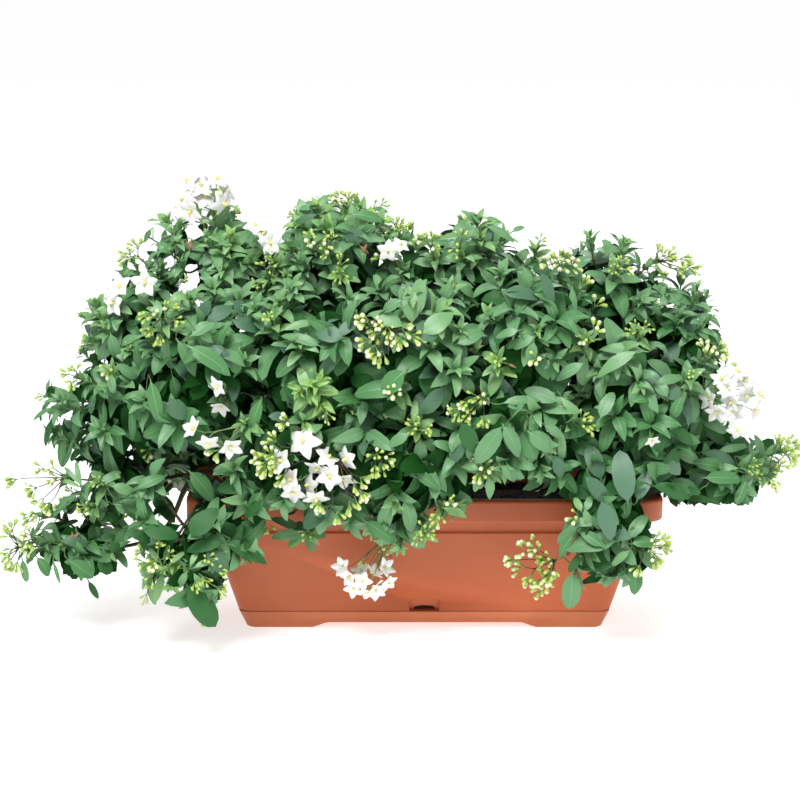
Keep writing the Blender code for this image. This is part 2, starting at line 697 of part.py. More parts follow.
def fuse(name, meshes, parts, material):
    """Joins a mass's meshes with one Boolean union, and keeps the one closed body that it makes."""
    bits = new_collection(name + "_bits")
    stem = new_object(name, meshes[0], parts)
    for i, mesh in enumerate(meshes[1:]):
        new_object(f"{name}_bit_{i}", mesh, bits)
    union = stem.modifiers.new("Fuse", "BOOLEAN")
    union.operation = "UNION"
    union.operand_type = "COLLECTION"
    union.collection = bits
    union.solver = "EXACT"
    bpy.context.view_layer.update()
    graph = bpy.context.evaluated_depsgraph_get()
    mesh = bpy.data.meshes.new_from_object(stem.evaluated_get(graph))
    stem.modifiers.clear()
    stem.data = mesh
    for obj in list(bits.objects):
        bpy.data.objects.remove(obj)
    bpy.data.collections.remove(bits)
    keep_largest_body(mesh)
    mesh.materials.clear()
    mesh.materials.append(material)
    return stem


def keep_largest_body(mesh):
    """Drops loose scraps and fills sealed hollows, which are the smaller shells."""
    bm = bmesh.new()
    bm.from_mesh(mesh)
    bmesh.ops.triangulate(bm, faces=bm.faces)
    unseen = set(bm.faces)
    shells = []
    while unseen:
        first = unseen.pop()
        shell, queue = [first], [first]
        while queue:
            face = queue.pop()
            for edge in face.edges:
                for near in edge.link_faces:
                    if near in unseen:
                        unseen.remove(near)
                        shell.append(near)
                        queue.append(near)
        shells.append(shell)
    largest = max(shells, key=len)
    spare = [face for shell in shells if shell is not largest for face in shell]
    bmesh.ops.delete(bm, geom=spare, context="FACES")
    bm.to_mesh(mesh)
    bm.free()


def build_plant(parts, bark, foliage):
    planter = skin(trough_sections(), "planter_surface")
    planter.transform(Matrix.Translation((PLANTER_X, 0.0, 0.0)))
    limbs = build_boughs(parts, bark, planter)
    size, middle = rim_guard()
    guards = [limb_object.data for limb_object, _ in limbs.values()]
    guards.append(box_mesh(size, middle, "rim_guard"))
    obstacles = tree_of(guards)
    rng = random.Random(SEED)
    for name in MASSES:
        path = limbs[name][1]
        way = (path[-1] - path[-2]).normalized()
        meshes = grow_mass(name, path[-1] + way * GAP, way, obstacles, rng)
        fuse("foliage_" + name, meshes, parts, foliage)


def main():
    clear_scene()
    parts = new_collection("potted_potato_vine")
    cutters = new_collection("cutters")
    plastic = new_material("terracotta_plastic", (0.552, 0.156, 0.070), 0.55)
    earth = new_material("potting_soil", (0.030, 0.020, 0.014), 0.95)
    bark = new_material("green_brown_bark", (0.130, 0.110, 0.050), 0.75)
    foliage = new_material("leaf_green", (0.080, 0.190, 0.060), 0.50)
    build_trough(parts, cutters, plastic)
    build_tray(parts, cutters, plastic)
    build_soil(parts, earth)
    build_plant(parts, bark, foliage)


main()
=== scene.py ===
"""Looks of the potted potato vine: a window box with its drip tray, and the flowering vine that fills it.

Metres, +Z up. The front is -Y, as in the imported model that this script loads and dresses.
"""

import math
import random

import bmesh
import bpy
import numpy as np
from mathutils import Matrix, Vector, noise
from mathutils.bvhtree import BVHTree


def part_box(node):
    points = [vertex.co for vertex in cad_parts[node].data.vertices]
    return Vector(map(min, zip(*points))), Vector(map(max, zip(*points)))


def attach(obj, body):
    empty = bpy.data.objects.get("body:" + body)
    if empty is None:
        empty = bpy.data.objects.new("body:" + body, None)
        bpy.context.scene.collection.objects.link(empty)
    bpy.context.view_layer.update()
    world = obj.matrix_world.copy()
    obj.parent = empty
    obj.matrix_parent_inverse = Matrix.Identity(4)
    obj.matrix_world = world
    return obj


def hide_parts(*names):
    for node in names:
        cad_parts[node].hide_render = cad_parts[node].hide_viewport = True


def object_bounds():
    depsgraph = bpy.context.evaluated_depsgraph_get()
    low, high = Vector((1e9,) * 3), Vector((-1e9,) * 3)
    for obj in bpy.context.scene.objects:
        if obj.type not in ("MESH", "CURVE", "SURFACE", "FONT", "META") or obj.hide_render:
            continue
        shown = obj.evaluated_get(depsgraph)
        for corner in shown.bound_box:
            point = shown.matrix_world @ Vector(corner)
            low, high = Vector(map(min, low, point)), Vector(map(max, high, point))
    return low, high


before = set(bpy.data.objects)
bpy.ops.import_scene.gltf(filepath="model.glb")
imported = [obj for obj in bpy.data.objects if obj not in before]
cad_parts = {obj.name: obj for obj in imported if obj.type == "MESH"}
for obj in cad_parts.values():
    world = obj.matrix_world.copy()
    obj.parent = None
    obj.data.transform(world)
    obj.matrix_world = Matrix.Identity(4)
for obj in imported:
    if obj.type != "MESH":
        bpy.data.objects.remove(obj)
cad_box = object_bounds()


# The picture. A long lens three metres off looks down on the planter by twelve degrees. A place that was read
# from the photograph is given further on as a pixel of its 800 by 800 frame, and becomes a sight line.
PICTURE, FOCAL_PIXELS, SENSOR = 800, 2344, 36.0
AIM, DISTANCE, LOOK_DOWN = Vector((0.0, 0.0, 0.2825)), 3.0, math.radians(12)
AHEAD = Vector((0.0, math.cos(LOOK_DOWN), -math.sin(LOOK_DOWN)))
PICTURE_UP = Vector((0.0, math.sin(LOOK_DOWN), math.cos(LOOK_DOWN)))
PICTURE_RIGHT = Vector((1.0, 0.0, 0.0))
LENS_PLACE = AIM - AHEAD * DISTANCE
FARTHEST_SEEN = 2000.0

camera = bpy.data.objects.new("camera", bpy.data.cameras.new("camera"))
camera.data.sensor_width = SENSOR
camera.data.lens = SENSOR * FOCAL_PIXELS / PICTURE
camera.data.clip_end = FARTHEST_SEEN
camera.location = LENS_PLACE
camera.rotation_euler = (math.radians(90) - LOOK_DOWN, 0.0, 0.0)
bpy.context.scene.collection.objects.link(camera)
bpy.context.scene.camera = camera
bpy.context.scene.view_settings.view_transform = "Standard"


def sight(pixel_x, pixel_y):
    """The way from the lens through a pixel of the photograph, counted from its top left."""
    across = (pixel_x - PICTURE / 2) / FOCAL_PIXELS
    up = (PICTURE / 2 - pixel_y) / FOCAL_PIXELS
    return (AHEAD + PICTURE_RIGHT * across + PICTURE_UP * up).normalized()


# The trough: one thin-walled moulding in terracotta-coloured polypropylene. Its walls lean out to a flat rim
# that is turned down into a deep lip, with a stepped band below it and a scooped overflow mouth at the front.
LIP_HEIGHT, BAND_HEIGHT, BAND_STEP = 0.029, 0.018, 0.002
TOP_LENGTH, TOP_DEPTH = 0.556, 0.172
FLOOR_LENGTH, FLOOR_DEPTH, FLOOR_LIFT = 0.448, 0.129, 0.005
PLASTIC_WALL, SEAM_GROOVE = 0.0028, 0.0010
PLAN_CORNER, FOOT_CORNER, LIP_ROUND = 0.026, 0.016, 0.0045
CORNER_STEPS, ROUND_STEPS = 12, 4
QUARTER_TURN, SHARP_EDGE = math.radians(90), math.radians(32)
MOUTH_WIDTH, MOUTH_HEIGHT, MOUTH_CORNER, MOUTH_STEPS = 0.039, 0.017, 0.005, 6
MOUTH_SCOOP_TOP, MOUTH_SCOOP = 0.0060, 0.0012
SLOT_WIDTH, SLOT_HEIGHT, SLOT_FOOT, SLOT_STEPS = 0.027, 0.0042, 0.0022, 16

trough_low, trough_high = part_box("planter_trough")
tray_low, tray_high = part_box("drip_tray")
PLANTER_X = (trough_low.x + trough_high.x) / 2
RIM_LENGTH, RIM_DEPTH = trough_high.x - trough_low.x, trough_high.y - trough_low.y
SEAM_LENGTH, SEAM_DEPTH = tray_high.x - tray_low.x, tray_high.y - tray_low.y
RIM_TOP, SEAM = trough_high.z, tray_high.z
LIP_FOOT = RIM_TOP - LIP_HEIGHT
BAND_FOOT = LIP_FOOT - BAND_HEIGHT


def link(name, mesh, materials):
    """A new piece from a mesh that is already in place."""
    piece = bpy.data.objects.new(name, mesh)
    bpy.context.scene.collection.objects.link(piece)
    for material in materials:
        mesh.materials.append(material)
    return piece


def fit(piece, slot, *nodes):
    """A piece rides on the planter's one body and stands for what it replaces. Its slot is not used."""
    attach(piece, "root")
    if nodes:
        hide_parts(*nodes)


def oblong_ring(length, depth, height, radius):
    """Points round an oblong with rounded corners, at one height."""
    points = []
    for corner in range(4):
        middle = Vector((
            PLANTER_X + (length / 2 - radius) * (1 if corner in (0, 3) else -1),
            (depth / 2 - radius) * (1 if corner in (0, 1) else -1),
            height,
        ))
        for step in range(CORNER_STEPS + 1):
            angle = QUARTER_TURN * (corner + step / CORNER_STEPS)
            points.append(middle + radius * Vector((math.cos(angle), math.sin(angle), 0.0)))
    return points


def skinned(name, rings, materials=()):
    """A closed skin over rings of points that stand one above the other or one inside the other."""
    bm = bmesh.new()
    loops = [[bm.verts.new(point) for point in ring] for ring in rings]
    for lower, upper in zip(loops, loops[1:]):
        for i in range(len(lower)):
            j = (i + 1) % len(lower)
            bm.faces.new((lower[i], lower[j], upper[j], upper[i]))
    bm.faces.new(reversed(loops[0]))
    bm.faces.new(loops[-1])
    bmesh.ops.recalc_face_normals(bm, faces=bm.faces)
    mesh = bpy.data.meshes.new(name)
    bm.to_mesh(mesh)
    bm.free()
    mesh.shade_smooth()
    mesh.set_sharp_from_angle(angle=SHARP_EDGE)
    return link(name, mesh, materials)


def wall_size(height):
    """Length and depth over the trough's outside at a height between the seam and the lip."""
    share = (height - SEAM) / (LIP_FOOT - SEAM)
    return (
        SEAM_LENGTH + (TOP_LENGTH - SEAM_LENGTH) * share,
        SEAM_DEPTH + (TOP_DEPTH - SEAM_DEPTH) * share,
    )


def trough_rings():
    """The trough's sections: up the outside, round the lip and down the inside."""
    rings = []

    def add(size, height, inset=0.0):
        share = min(max((height - SEAM) / (LIP_FOOT - SEAM), 0.0), 1.0)
        corner = FOOT_CORNER + (PLAN_CORNER - FOOT_CORNER) * share
        rings.append(oblong_ring(size[0] - 2 * inset, size[1] - 2 * inset, height, corner - inset * 0.5))

    rim, top, seam = (RIM_LENGTH, RIM_DEPTH), (TOP_LENGTH, TOP_DEPTH), (SEAM_LENGTH, SEAM_DEPTH)
    floor, floor_height = (FLOOR_LENGTH, FLOOR_DEPTH), 2 * PLASTIC_WALL + FLOOR_LIFT
    under_rim = RIM_TOP - 1.6 * PLASTIC_WALL
    add(floor, floor_height)
    for height, inset in (
        (0.0002, 0.004), (0.0002, SEAM_GROOVE), (SEAM_GROOVE, SEAM_GROOVE), (SEAM_GROOVE * 1.25, 0.0002),
    ):
        add(seam, SEAM + height, inset)
    for height in (SEAM + SEAM_GROOVE * 1.5, SEAM + SEAM_GROOVE * 1.9, BAND_FOOT - 0.0006, BAND_FOOT):
        add(wall_size(height), height)
    for height, inset in ((0.0010, 0.0004), (0.0028, BAND_STEP * 0.85), (0.0042, BAND_STEP)):
        add(wall_size(BAND_FOOT), BAND_FOOT + height, inset)
    for height, inset in ((LIP_FOOT - 0.002, BAND_STEP), (LIP_FOOT, BAND_STEP * 0.5)):
        add(wall_size(height), height, inset)
    add(top, under_rim)
    for height, inset in (
        (under_rim, PLASTIC_WALL), (LIP_FOOT + 0.0008, PLASTIC_WALL), (LIP_FOOT, PLASTIC_WALL * 0.6),
        (LIP_FOOT + 0.0003, 0.0010), (LIP_FOOT + 0.0016, 0.0002), (LIP_FOOT + 0.0030, 0.0),
        (RIM_TOP - LIP_ROUND - 0.0008, 0.0),
    ):
        add(rim, height, inset)
    for step in range(ROUND_STEPS + 1):
        angle = QUARTER_TURN * step / ROUND_STEPS
        add(rim, RIM_TOP - LIP_ROUND + LIP_ROUND * math.sin(angle), LIP_ROUND - LIP_ROUND * math.cos(angle))
    for height, inset in ((0.0003, -0.0020), (0.0020, 0.0004), (0.0080, PLASTIC_WALL)):
        add(top, RIM_TOP - height, inset)
    add(floor, floor_height + PLASTIC_WALL, PLASTIC_WALL)
    return rings


def cut_from(piece, cutter):
    """Cuts one mesh from another and drops the cutter."""
    modifier = piece.modifiers.new("cut", "BOOLEAN")
    modifier.operation, modifier.solver, modifier.object = "DIFFERENCE", "EXACT", cutter
    bpy.context.view_layer.update()
    cut_mesh = bpy.data.meshes.new_from_object(
        piece.evaluated_get(bpy.context.evaluated_depsgraph_get())
    )
    piece.modifiers.clear()
    piece.data = cut_mesh
    bpy.data.objects.remove(cutter)


def mouth_outline(inset):
    """The overflow mouth's outline on the front wall: straight sides and two round upper corners."""
    half, top = MOUTH_WIDTH / 2 - inset, MOUTH_HEIGHT - inset
    points = [(half, 0.0)]
    for first, middle in ((0, half - MOUTH_CORNER), (1, MOUTH_CORNER - half)):
        for step in range(MOUTH_STEPS + 1):
            angle = QUARTER_TURN * (first + step / MOUTH_STEPS)
            points.append((
                middle + MOUTH_CORNER * math.cos(angle),
                top - MOUTH_CORNER + MOUTH_CORNER * math.sin(angle),
            ))
    points.append((-half, 0.0))
    return points


def mouth_ring(inset, sunk, deeper, lift=0.0):
    """The mouth's outline on the leaning wall, sunk into it, and sunk deeper towards its foot."""
    lean = (TOP_DEPTH - SEAM_DEPTH) / 2 / (LIP_FOOT - SEAM)
    ring = []
    for x, z in mouth_outline(inset):
        height = SEAM + SEAM_GROOVE * 0.5 + max(z, lift)
        depth = sunk + deeper * (1 - z / MOUTH_HEIGHT)
        ring.append(Vector((PLANTER_X + x, -SEAM_DEPTH / 2 - (height - SEAM) * lean + depth, height)))
    return ring


def slot_ring(share, ahead):
    """A near-black sheet at the mouth's foot, painted shade for the dark slot there: half an oval, at a share
    of its size.
    """
    ring = []
    for step in range(SLOT_STEPS + 1):
        angle = math.pi * step / SLOT_STEPS
        across = SLOT_WIDTH / 2 * share * math.cos(angle)
        height = SEAM + SLOT_FOOT + SLOT_HEIGHT * share * math.sin(angle) ** 0.7
        back = MOUTH_SCOOP_TOP + MOUTH_SCOOP * (1 - (height - SEAM) / MOUTH_HEIGHT)
        ring.append(Vector((PLANTER_X + across, -SEAM_DEPTH / 2 + back + ahead - 0.0012, height)))
    return ring


class Surface:
    """A material in the making: its nodes are set and wired one by one as they are added."""

    def __init__(self, name):
        self.material = bpy.data.materials.new(name)
        self.material.use_nodes = True
        self.shader = self.material.node_tree.nodes["Principled BSDF"]
        self.place = self.add("TexCoord").outputs["Object"]

    def set(self, node, inputs):
        """Gives a node's inputs: each is a number, a colour, or another node's output that is wired to it."""
        for socket, value in inputs.items():
            if isinstance(value, bpy.types.NodeSocket):
                self.material.node_tree.links.new(value, node.inputs[socket])
            else:
                node.inputs[socket].default_value = value

    def add(self, kind, **inputs):
        node = self.material.node_tree.nodes.new("ShaderNode" + kind)
        self.set(node, inputs)
        return node

    def noise(self, scale, detail=2.0, distortion=0.0):
        """A cloudy pattern that is fixed to the piece."""
        pattern = self.add("TexNoise", Vector=self.place, Scale=scale, Detail=detail, Distortion=distortion)
        return pattern.outputs["Fac"]

    def two_tones(self, share, start, end, dark, light):
        """A run from one colour to another as the pattern goes from start to end."""
        ramp = self.add("ValToRGB", Fac=share)
        for stop, position, color in zip(ramp.color_ramp.elements, (start, end), (dark, light)):
            stop.position = position
            stop.color = (*color, 1.0)
        return ramp.outputs["Color"]

    def ranged(self, value, start, end, first, last):
        """A value that goes from first to last as another goes from start to end."""
        spread = self.add("MapRange", Value=value)
        self.set(spread, {"From Min": start, "From Max": end, "To Min": first, "To Max": last})
        return spread.outputs["Result"]

    def finished(self, color, roughness, pattern, strength, distance):
        """The material with its colour and roughness, and a relief after a pattern."""
        relief = self.add("Bump", Height=pattern, Strength=strength, Distance=distance)
        inputs = {"Base Color": color, "Roughness": roughness, "Normal": relief.outputs["Normal"]}
        self.set(self.shader, inputs)
        return self.material


def moulded_plastic(name, color, roughness):
    """Terracotta-coloured plastic: a fine moulded grain, faint cloudy patches, and a few specks of earth."""
    plastic = Surface(name)
    clouds = plastic.noise(9.0, 6.0)
    dull, bright = [c * 0.90 for c in color], [min(c * 1.07 + 0.004, 1.0) for c in color]
    specks = plastic.add("TexVoronoi", Vector=plastic.place, Scale=46.0).outputs["Distance"]
    both = plastic.add("Math")
    both.operation = "MULTIPLY"
    plastic.set(both, {
        0: plastic.ranged(specks, 0.045, 0.075, 1.0, 0.0),
        1: plastic.ranged(plastic.noise(17.0), 0.62, 0.70, 0.0, 0.75),
    })
    soiled = plastic.add("Mix")
    soiled.data_type = "RGBA"
    plastic.set(soiled, {
        "Factor": both.outputs["Value"],
        "A": plastic.two_tones(clouds, 0.30, 0.72, dull, bright),
        "B": (0.060, 0.022, 0.014, 1.0),
    })
    gloss = plastic.ranged(clouds, 0.0, 1.0, roughness - 0.05, roughness + 0.07)
    return plastic.finished(soiled.outputs["Result"], gloss, plastic.noise(900.0, 3.0), 0.12, 0.0004)


def earth(name, dark, light, scale):
    """Crumbly earth: broken patches of two browns, rough all over."""
    soil_surface = Surface(name)
    crumbs = soil_surface.noise(scale, 8.0)
    browns = soil_surface.two_tones(crumbs, 0.40, 0.66, dark, light)
    return soil_surface.finished(browns, 0.95, crumbs, 0.8, 0.002)


trough_plastic = moulded_plastic("terracotta_trough_plastic", (0.500, 0.105, 0.026), 0.46)
trough = skinned("planter_trough_skin", trough_rings(), [trough_plastic])
cut_from(trough, skinned("mouth_cutter", [mouth_ring(0.0, 0.009, 0.0), mouth_ring(0.0, -0.006, 0.0)]))
scoop_rings = [
    mouth_ring(0.0006, MOUTH_SCOOP_TOP + 0.0012, MOUTH_SCOOP),
    mouth_ring(-0.0009, MOUTH_SCOOP_TOP + 0.0008, MOUTH_SCOOP),
    mouth_ring(-0.0009, 0.0010, 0.0),
    mouth_ring(0.0003, 0.0008, 0.0),
    mouth_ring(0.0004, MOUTH_SCOOP_TOP * 0.8, MOUTH_SCOOP * 0.9, 0.0006),
    mouth_ring(0.0014, MOUTH_SCOOP_TOP, MOUTH_SCOOP, 0.0008),
]
scoop = skinned("overflow_mouth_scoop", scoop_rings, [trough_plastic])
# The slot is painted shade: a near-black sheet in the earth material stands for the shade in the opening that
# leads inside.
slot_shadow = earth("slot_painted_shade", (0.004, 0.002, 0.002), (0.012, 0.005, 0.003), 300.0)
slot_rings = [slot_ring(1.0, 0.0004), slot_ring(1.0, -0.0004), slot_ring(0.94, -0.0006)]
slot = skinned("overflow_slot_painted_shade", slot_rings, [slot_shadow])
fit(trough, "planter_plastic", "planter_trough")
fit(scoop, "planter_plastic")
fit(slot, "planter_plastic")


# The drip tray: a shallow moulding in the same plastic that the trough sits in. It stands on a foot at each
# end, and its middle is raised between them.
TRAY_LENGTH, TRAY_DEPTH, TRAY_ROUND = 0.456, 0.137, 0.0028
TRAY_CORNER = FOOT_CORNER - 0.002
FOOT_HEIGHT, ARCH_LENGTH, ARCH_SLOPE = 0.0075, 0.288, 0.020


def tray_rings():
    """The tray's sections: round its foot, up the outside, over the edge and down to its floor."""
    rings = []
    for step in range(ROUND_STEPS + 1):
        angle = QUARTER_TURN * step / ROUND_STEPS
        inset = 2 * TRAY_ROUND * (1 - math.sin(angle))
        height = TRAY_ROUND * (1 - math.cos(angle))
        rings.append(oblong_ring(TRAY_LENGTH - inset, TRAY_DEPTH - inset, height, TRAY_CORNER - inset / 2))
    for inset, height in ((0.0003, SEAM - 0.0006), (0.0014, SEAM)):
        rings.append(oblong_ring(SEAM_LENGTH - inset, SEAM_DEPTH - inset, height, TRAY_CORNER))
    for size, height in (
        ((SEAM_LENGTH, SEAM_DEPTH), SEAM),
        ((TRAY_LENGTH, TRAY_DEPTH), FOOT_HEIGHT + PLASTIC_WALL),
    ):
        length, depth = (side - 2 * PLASTIC_WALL for side in size)
        rings.append(oblong_ring(length, depth, height, TRAY_CORNER - PLASTIC_WALL))
    return rings


def arch_ring(y):
    """The outline of what is cut away between the tray's feet."""
    foot = ARCH_LENGTH / 2
    half_side = [
        (foot + 0.002, -0.001),
        (foot - 0.001, 0.0004),
        (foot - ARCH_SLOPE + 0.003, FOOT_HEIGHT - 0.001),
        (foot - ARCH_SLOPE - 0.002, FOOT_HEIGHT),
    ]
    outline = half_side + [(-x, z) for x, z in reversed(half_side)]
    return [Vector((PLANTER_X + x, y, z)) for x, z in outline]


tray_plastic = moulded_plastic("terracotta_tray_plastic", (0.538, 0.152, 0.054), 0.50)
tray = skinned("drip_tray_skin", tray_rings(), [tray_plastic])
cut_from(tray, skinned("arch_cutter", [arch_ring(-TRAY_DEPTH), arch_ring(TRAY_DEPTH)]))
fit(tray, "planter_plastic", "drip_tray")


# The soil: moist peat-based potting soil that fills the trough to just under its rim. Its top is uneven and
# loose, with crumbs and small bits of bark lying on it.
SOIL_RINGS, SOIL_GAP, SOIL_LUMP, SOIL_COARSE, SOIL_FINE = 22, 0.012, 0.006, 38, 110
SOIL_CRUMBS, CRUMB_SIZES, CRUMB_SUNK = 420, (0.0010, 0.0038), 0.0035
soil_low, soil_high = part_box("soil")


def soil_rings():
    """The soil's sides, then rings that close in over its uneven top."""
    length, depth = soil_high.x - soil_low.x, soil_high.y - soil_low.y
    foot = soil_low.z + 0.001
    rings = [oblong_ring(FLOOR_LENGTH - SOIL_GAP, FLOOR_DEPTH - SOIL_GAP, foot, PLAN_CORNER - SOIL_GAP)]
    for step in range(SOIL_RINGS):
        share = 1 - step / SOIL_RINGS
        ring = oblong_ring(length * share, depth * share, soil_high.z, (PLAN_CORNER - SOIL_GAP / 2) * share)
        if step:
            for point in ring:
                lump = noise.noise(point * SOIL_COARSE) + 0.6 * noise.noise(point * SOIL_FINE)
                point.z += (lump - 0.7) * SOIL_LUMP * min(step / 3, 1.0)
        rings.append(ring)
    return rings


potting_soil = earth("potting_soil", (0.008, 0.005, 0.004), (0.040, 0.026, 0.017), 260.0)
fit(skinned("potting_soil_skin", soil_rings(), [potting_soil]), "soil", "soil")


class Gathered:
    """Small meshes of one kind, gathered to become one piece."""

    def __init__(self):
        self.points, self.faces, self.finishes, self.count = [], [], [], 0

    def add(self, points, faces, finishes):
        self.points.append(np.asarray(points, float).reshape(-1, 3))
        self.faces += [tuple(i + self.count for i in face) for face in faces]
        self.finishes += finishes
        self.count += len(self.points[-1])

    def piece(self, name, slot, materials, *nodes):
        mesh = bpy.data.meshes.new(name)
        mesh.from_pydata(np.concatenate(self.points).tolist(), [], self.faces)
        mesh.polygons.foreach_set("material_index", self.finishes)
        mesh.shade_smooth()
        fit(link(name, mesh, materials), slot, *nodes)


def soil_crumbs():
    """Loose crumbs and bits of bark that lie on the soil."""
    crumbs, rng = Gathered(), random.Random(3)
    bm = bmesh.new()
    bmesh.ops.create_icosphere(bm, subdivisions=1, radius=1.0)
    ball = np.array([v.co for v in bm.verts])
    faces = [tuple(v.index for v in f.verts) for f in bm.faces]
    bm.free()
    for _ in range(SOIL_CRUMBS):
        x = rng.uniform(soil_low.x + 0.02, soil_high.x - 0.02)
        y = rng.uniform(soil_low.y + 0.012, soil_high.y - 0.012)
        size = rng.uniform(*CRUMB_SIZES)
        rough = 1 + np.array([rng.uniform(-0.35, 0.25) for _ in ball])[:, None]
        flat = np.array([rng.uniform(0.7, 1.6), rng.uniform(0.7, 1.2), 0.7]) * size
        crumbs.add(ball * rough * flat + (x, y, soil_high.z - CRUMB_SUNK), faces, [0] * len(faces))
    return crumbs


bark_bits = earth("bark_bits", (0.012, 0.008, 0.005), (0.075, 0.048, 0.030), 420.0)
soil_crumbs().piece("soil_crumbs", "soil", [bark_bits])


# The woody stem and the boughs: grown limbs with shallow ridges in the bark, grey-brown at the foot and
# greener further out. Each bough swells where it leaves its parent. They follow the limbs of the frame.
RING_SPANS, RING_CORNERS = (0.0125, 0.0090, 0.0076, 0.0064), 6
TRUNK_RING_APART, TRUNK_SIDES, BOUGH_SIDES = 0.007, 22, 9
LIMB_STEP, BARK_RELIEF, BARK_LUMPS, BARK_WANDER = 0.006, 0.09, 60, 14
BOUGH_SWELL, SWELL_BACK = 1.7, 1.2
MASS_NAMES = [name[len("foliage_"):] for name in sorted(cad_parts) if name.startswith("foliage_")]


def middle_and_radius(ring):
    middle = sum(ring, Vector()) / len(ring)
    return middle, sum((corner - middle).length for corner in ring) / len(ring)


def node_corners(node):
    """A node's corners, each once."""
    corners = {}
    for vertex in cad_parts[node].data.vertices:
        corners[tuple(round(c, 5) for c in vertex.co)] = vertex.co.copy()
    return list(corners.values())


def bough_rings(name):
    """The middle and radius of each ring of a bough's corners, from its thick end to its thin one."""
    for span in RING_SPANS:
        rings = []
        for corner in node_corners("bough_" + name):
            near = [ring for ring in rings if (ring[0] - corner).length < span]
            if near:
                near[0].append(corner)
            else:
                rings.append([corner])
        if all(len(ring) == RING_CORNERS for ring in rings):
            break
    found = [middle_and_radius(ring) for ring in rings]
    line = [max(found, key=lambda ring: ring[1])]
    rest = [ring for ring in found if ring is not line[0]]
    while rest:
        line.append(min(rest, key=lambda ring: (ring[0] - line[-1][0]).length))
        rest.remove(line[-1])
    return line


def trunk_rings():
    """The same of the trunk, from its foot up."""
    rings = []
    for corner in sorted(node_corners("trunk"), key=lambda c: c.z):
        if rings and corner.z - rings[-1][0].z < TRUNK_RING_APART:
            rings[-1].append(corner)
        else:
            rings.append([corner])
    return [middle_and_radius(ring) for ring in rings]


def smooth_line(points, radii, step):
    """A fine line through points, with the radius at each place."""
    line, widths = [], []
    for i in range(len(points) - 1):
        a, b = points[max(i - 1, 0)], points[i]
        c, d = points[i + 1], points[min(i + 2, len(points) - 1)]
        count = max(2, round((c - b).length / step))
        for n in range(count):
            t = n / count
            line.append(0.5 * (
                2 * b + (c - a) * t + (2 * a - 5 * b + 4 * c - d) * t * t + (3 * b - 3 * c + d - a) * t ** 3
            ))
            widths.append(radii[i] + (radii[i + 1] - radii[i]) * t)
    return line + [points[-1]], widths + [radii[-1]]


def add_tube(gathered, line, radii, sides, finish, relief=0.0, ridges=0):
    """A closed tube along a line. Relief roughens it by a share of its radius."""
    points, faces = [], []
    across = (line[1] - line[0]).orthogonal().normalized()
    for i, (place, radius) in enumerate(zip(line, radii)):
        run = (line[min(i + 1, len(line) - 1)] - line[max(i - 1, 0)]).normalized()
        across = (across - run * across.dot(run)).normalized()
        other = run.cross(across)
        for k in range(sides):
            angle = 2 * math.pi * k / sides
            way = across * math.cos(angle) + other * math.sin(angle)
            swell = 1.0
            if relief:
                swell += relief * noise.noise(place * BARK_LUMPS + way * 2.2)
                swell += relief * 0.6 * math.sin(ridges * angle + 9 * noise.noise(place * BARK_WANDER))
            points.append(place + way * radius * swell)
    for i in range(len(line) - 1):
        for k in range(sides):
            a, b = i * sides + k, i * sides + (k + 1) % sides
            faces.append((a, b, b + sides, a + sides))
    end = (len(line) - 1) * sides
    faces.append(tuple(range(sides - 1, -1, -1)))
    faces.append(tuple(range(end, end + sides)))
    gathered.add(points, faces, [finish] * len(faces))


def bark(name, color, ridge_color, scale, roughness):
    """Bark: streaks along the grain in two tones, and a fine relief."""
    rind = Surface(name)
    streaks = rind.noise(scale, 7.0, 0.8)
    browns = rind.two_tones(streaks, 0.35, 0.65, color, ridge_color)
    return rind.finished(browns, roughness, streaks, 0.5, 0.001)


old_bark = bark("grey_brown_bark", (0.070, 0.050, 0.032), (0.190, 0.150, 0.100), 150.0, 0.85)
young_bark = bark("green_brown_bark", (0.060, 0.060, 0.022), (0.110, 0.110, 0.045), 220.0, 0.65)

trunk_limb = Gathered()
places, radii = zip(*trunk_rings())
line, widths = smooth_line(list(places), list(radii), LIMB_STEP / 2)
add_tube(trunk_limb, line, widths, TRUNK_SIDES, 0, BARK_RELIEF, 7)
trunk_limb.piece("trunk_bark", "bark", [old_bark], "trunk")

boughs, bough_ends = Gathered(), {}
for name in MASS_NAMES:
    places, radii = zip(*bough_rings(name))
    places, radii = list(places), list(radii)
    first_way = (places[1] - places[0]).normalized()
    places.insert(0, places[0] - first_way * radii[0] * SWELL_BACK)
    radii.insert(0, radii[0] * BOUGH_SWELL)
    line, widths = smooth_line(places, radii, LIMB_STEP)
    add_tube(boughs, line, widths, BOUGH_SIDES, 0, BARK_RELIEF, 3)
    bough_ends[name] = (line[-1], (line[-1] - line[-2]).normalized(), radii[-1])
boughs.piece("boughs_bark", "bark", [young_bark], *["bough_" + name for name in MASS_NAMES])


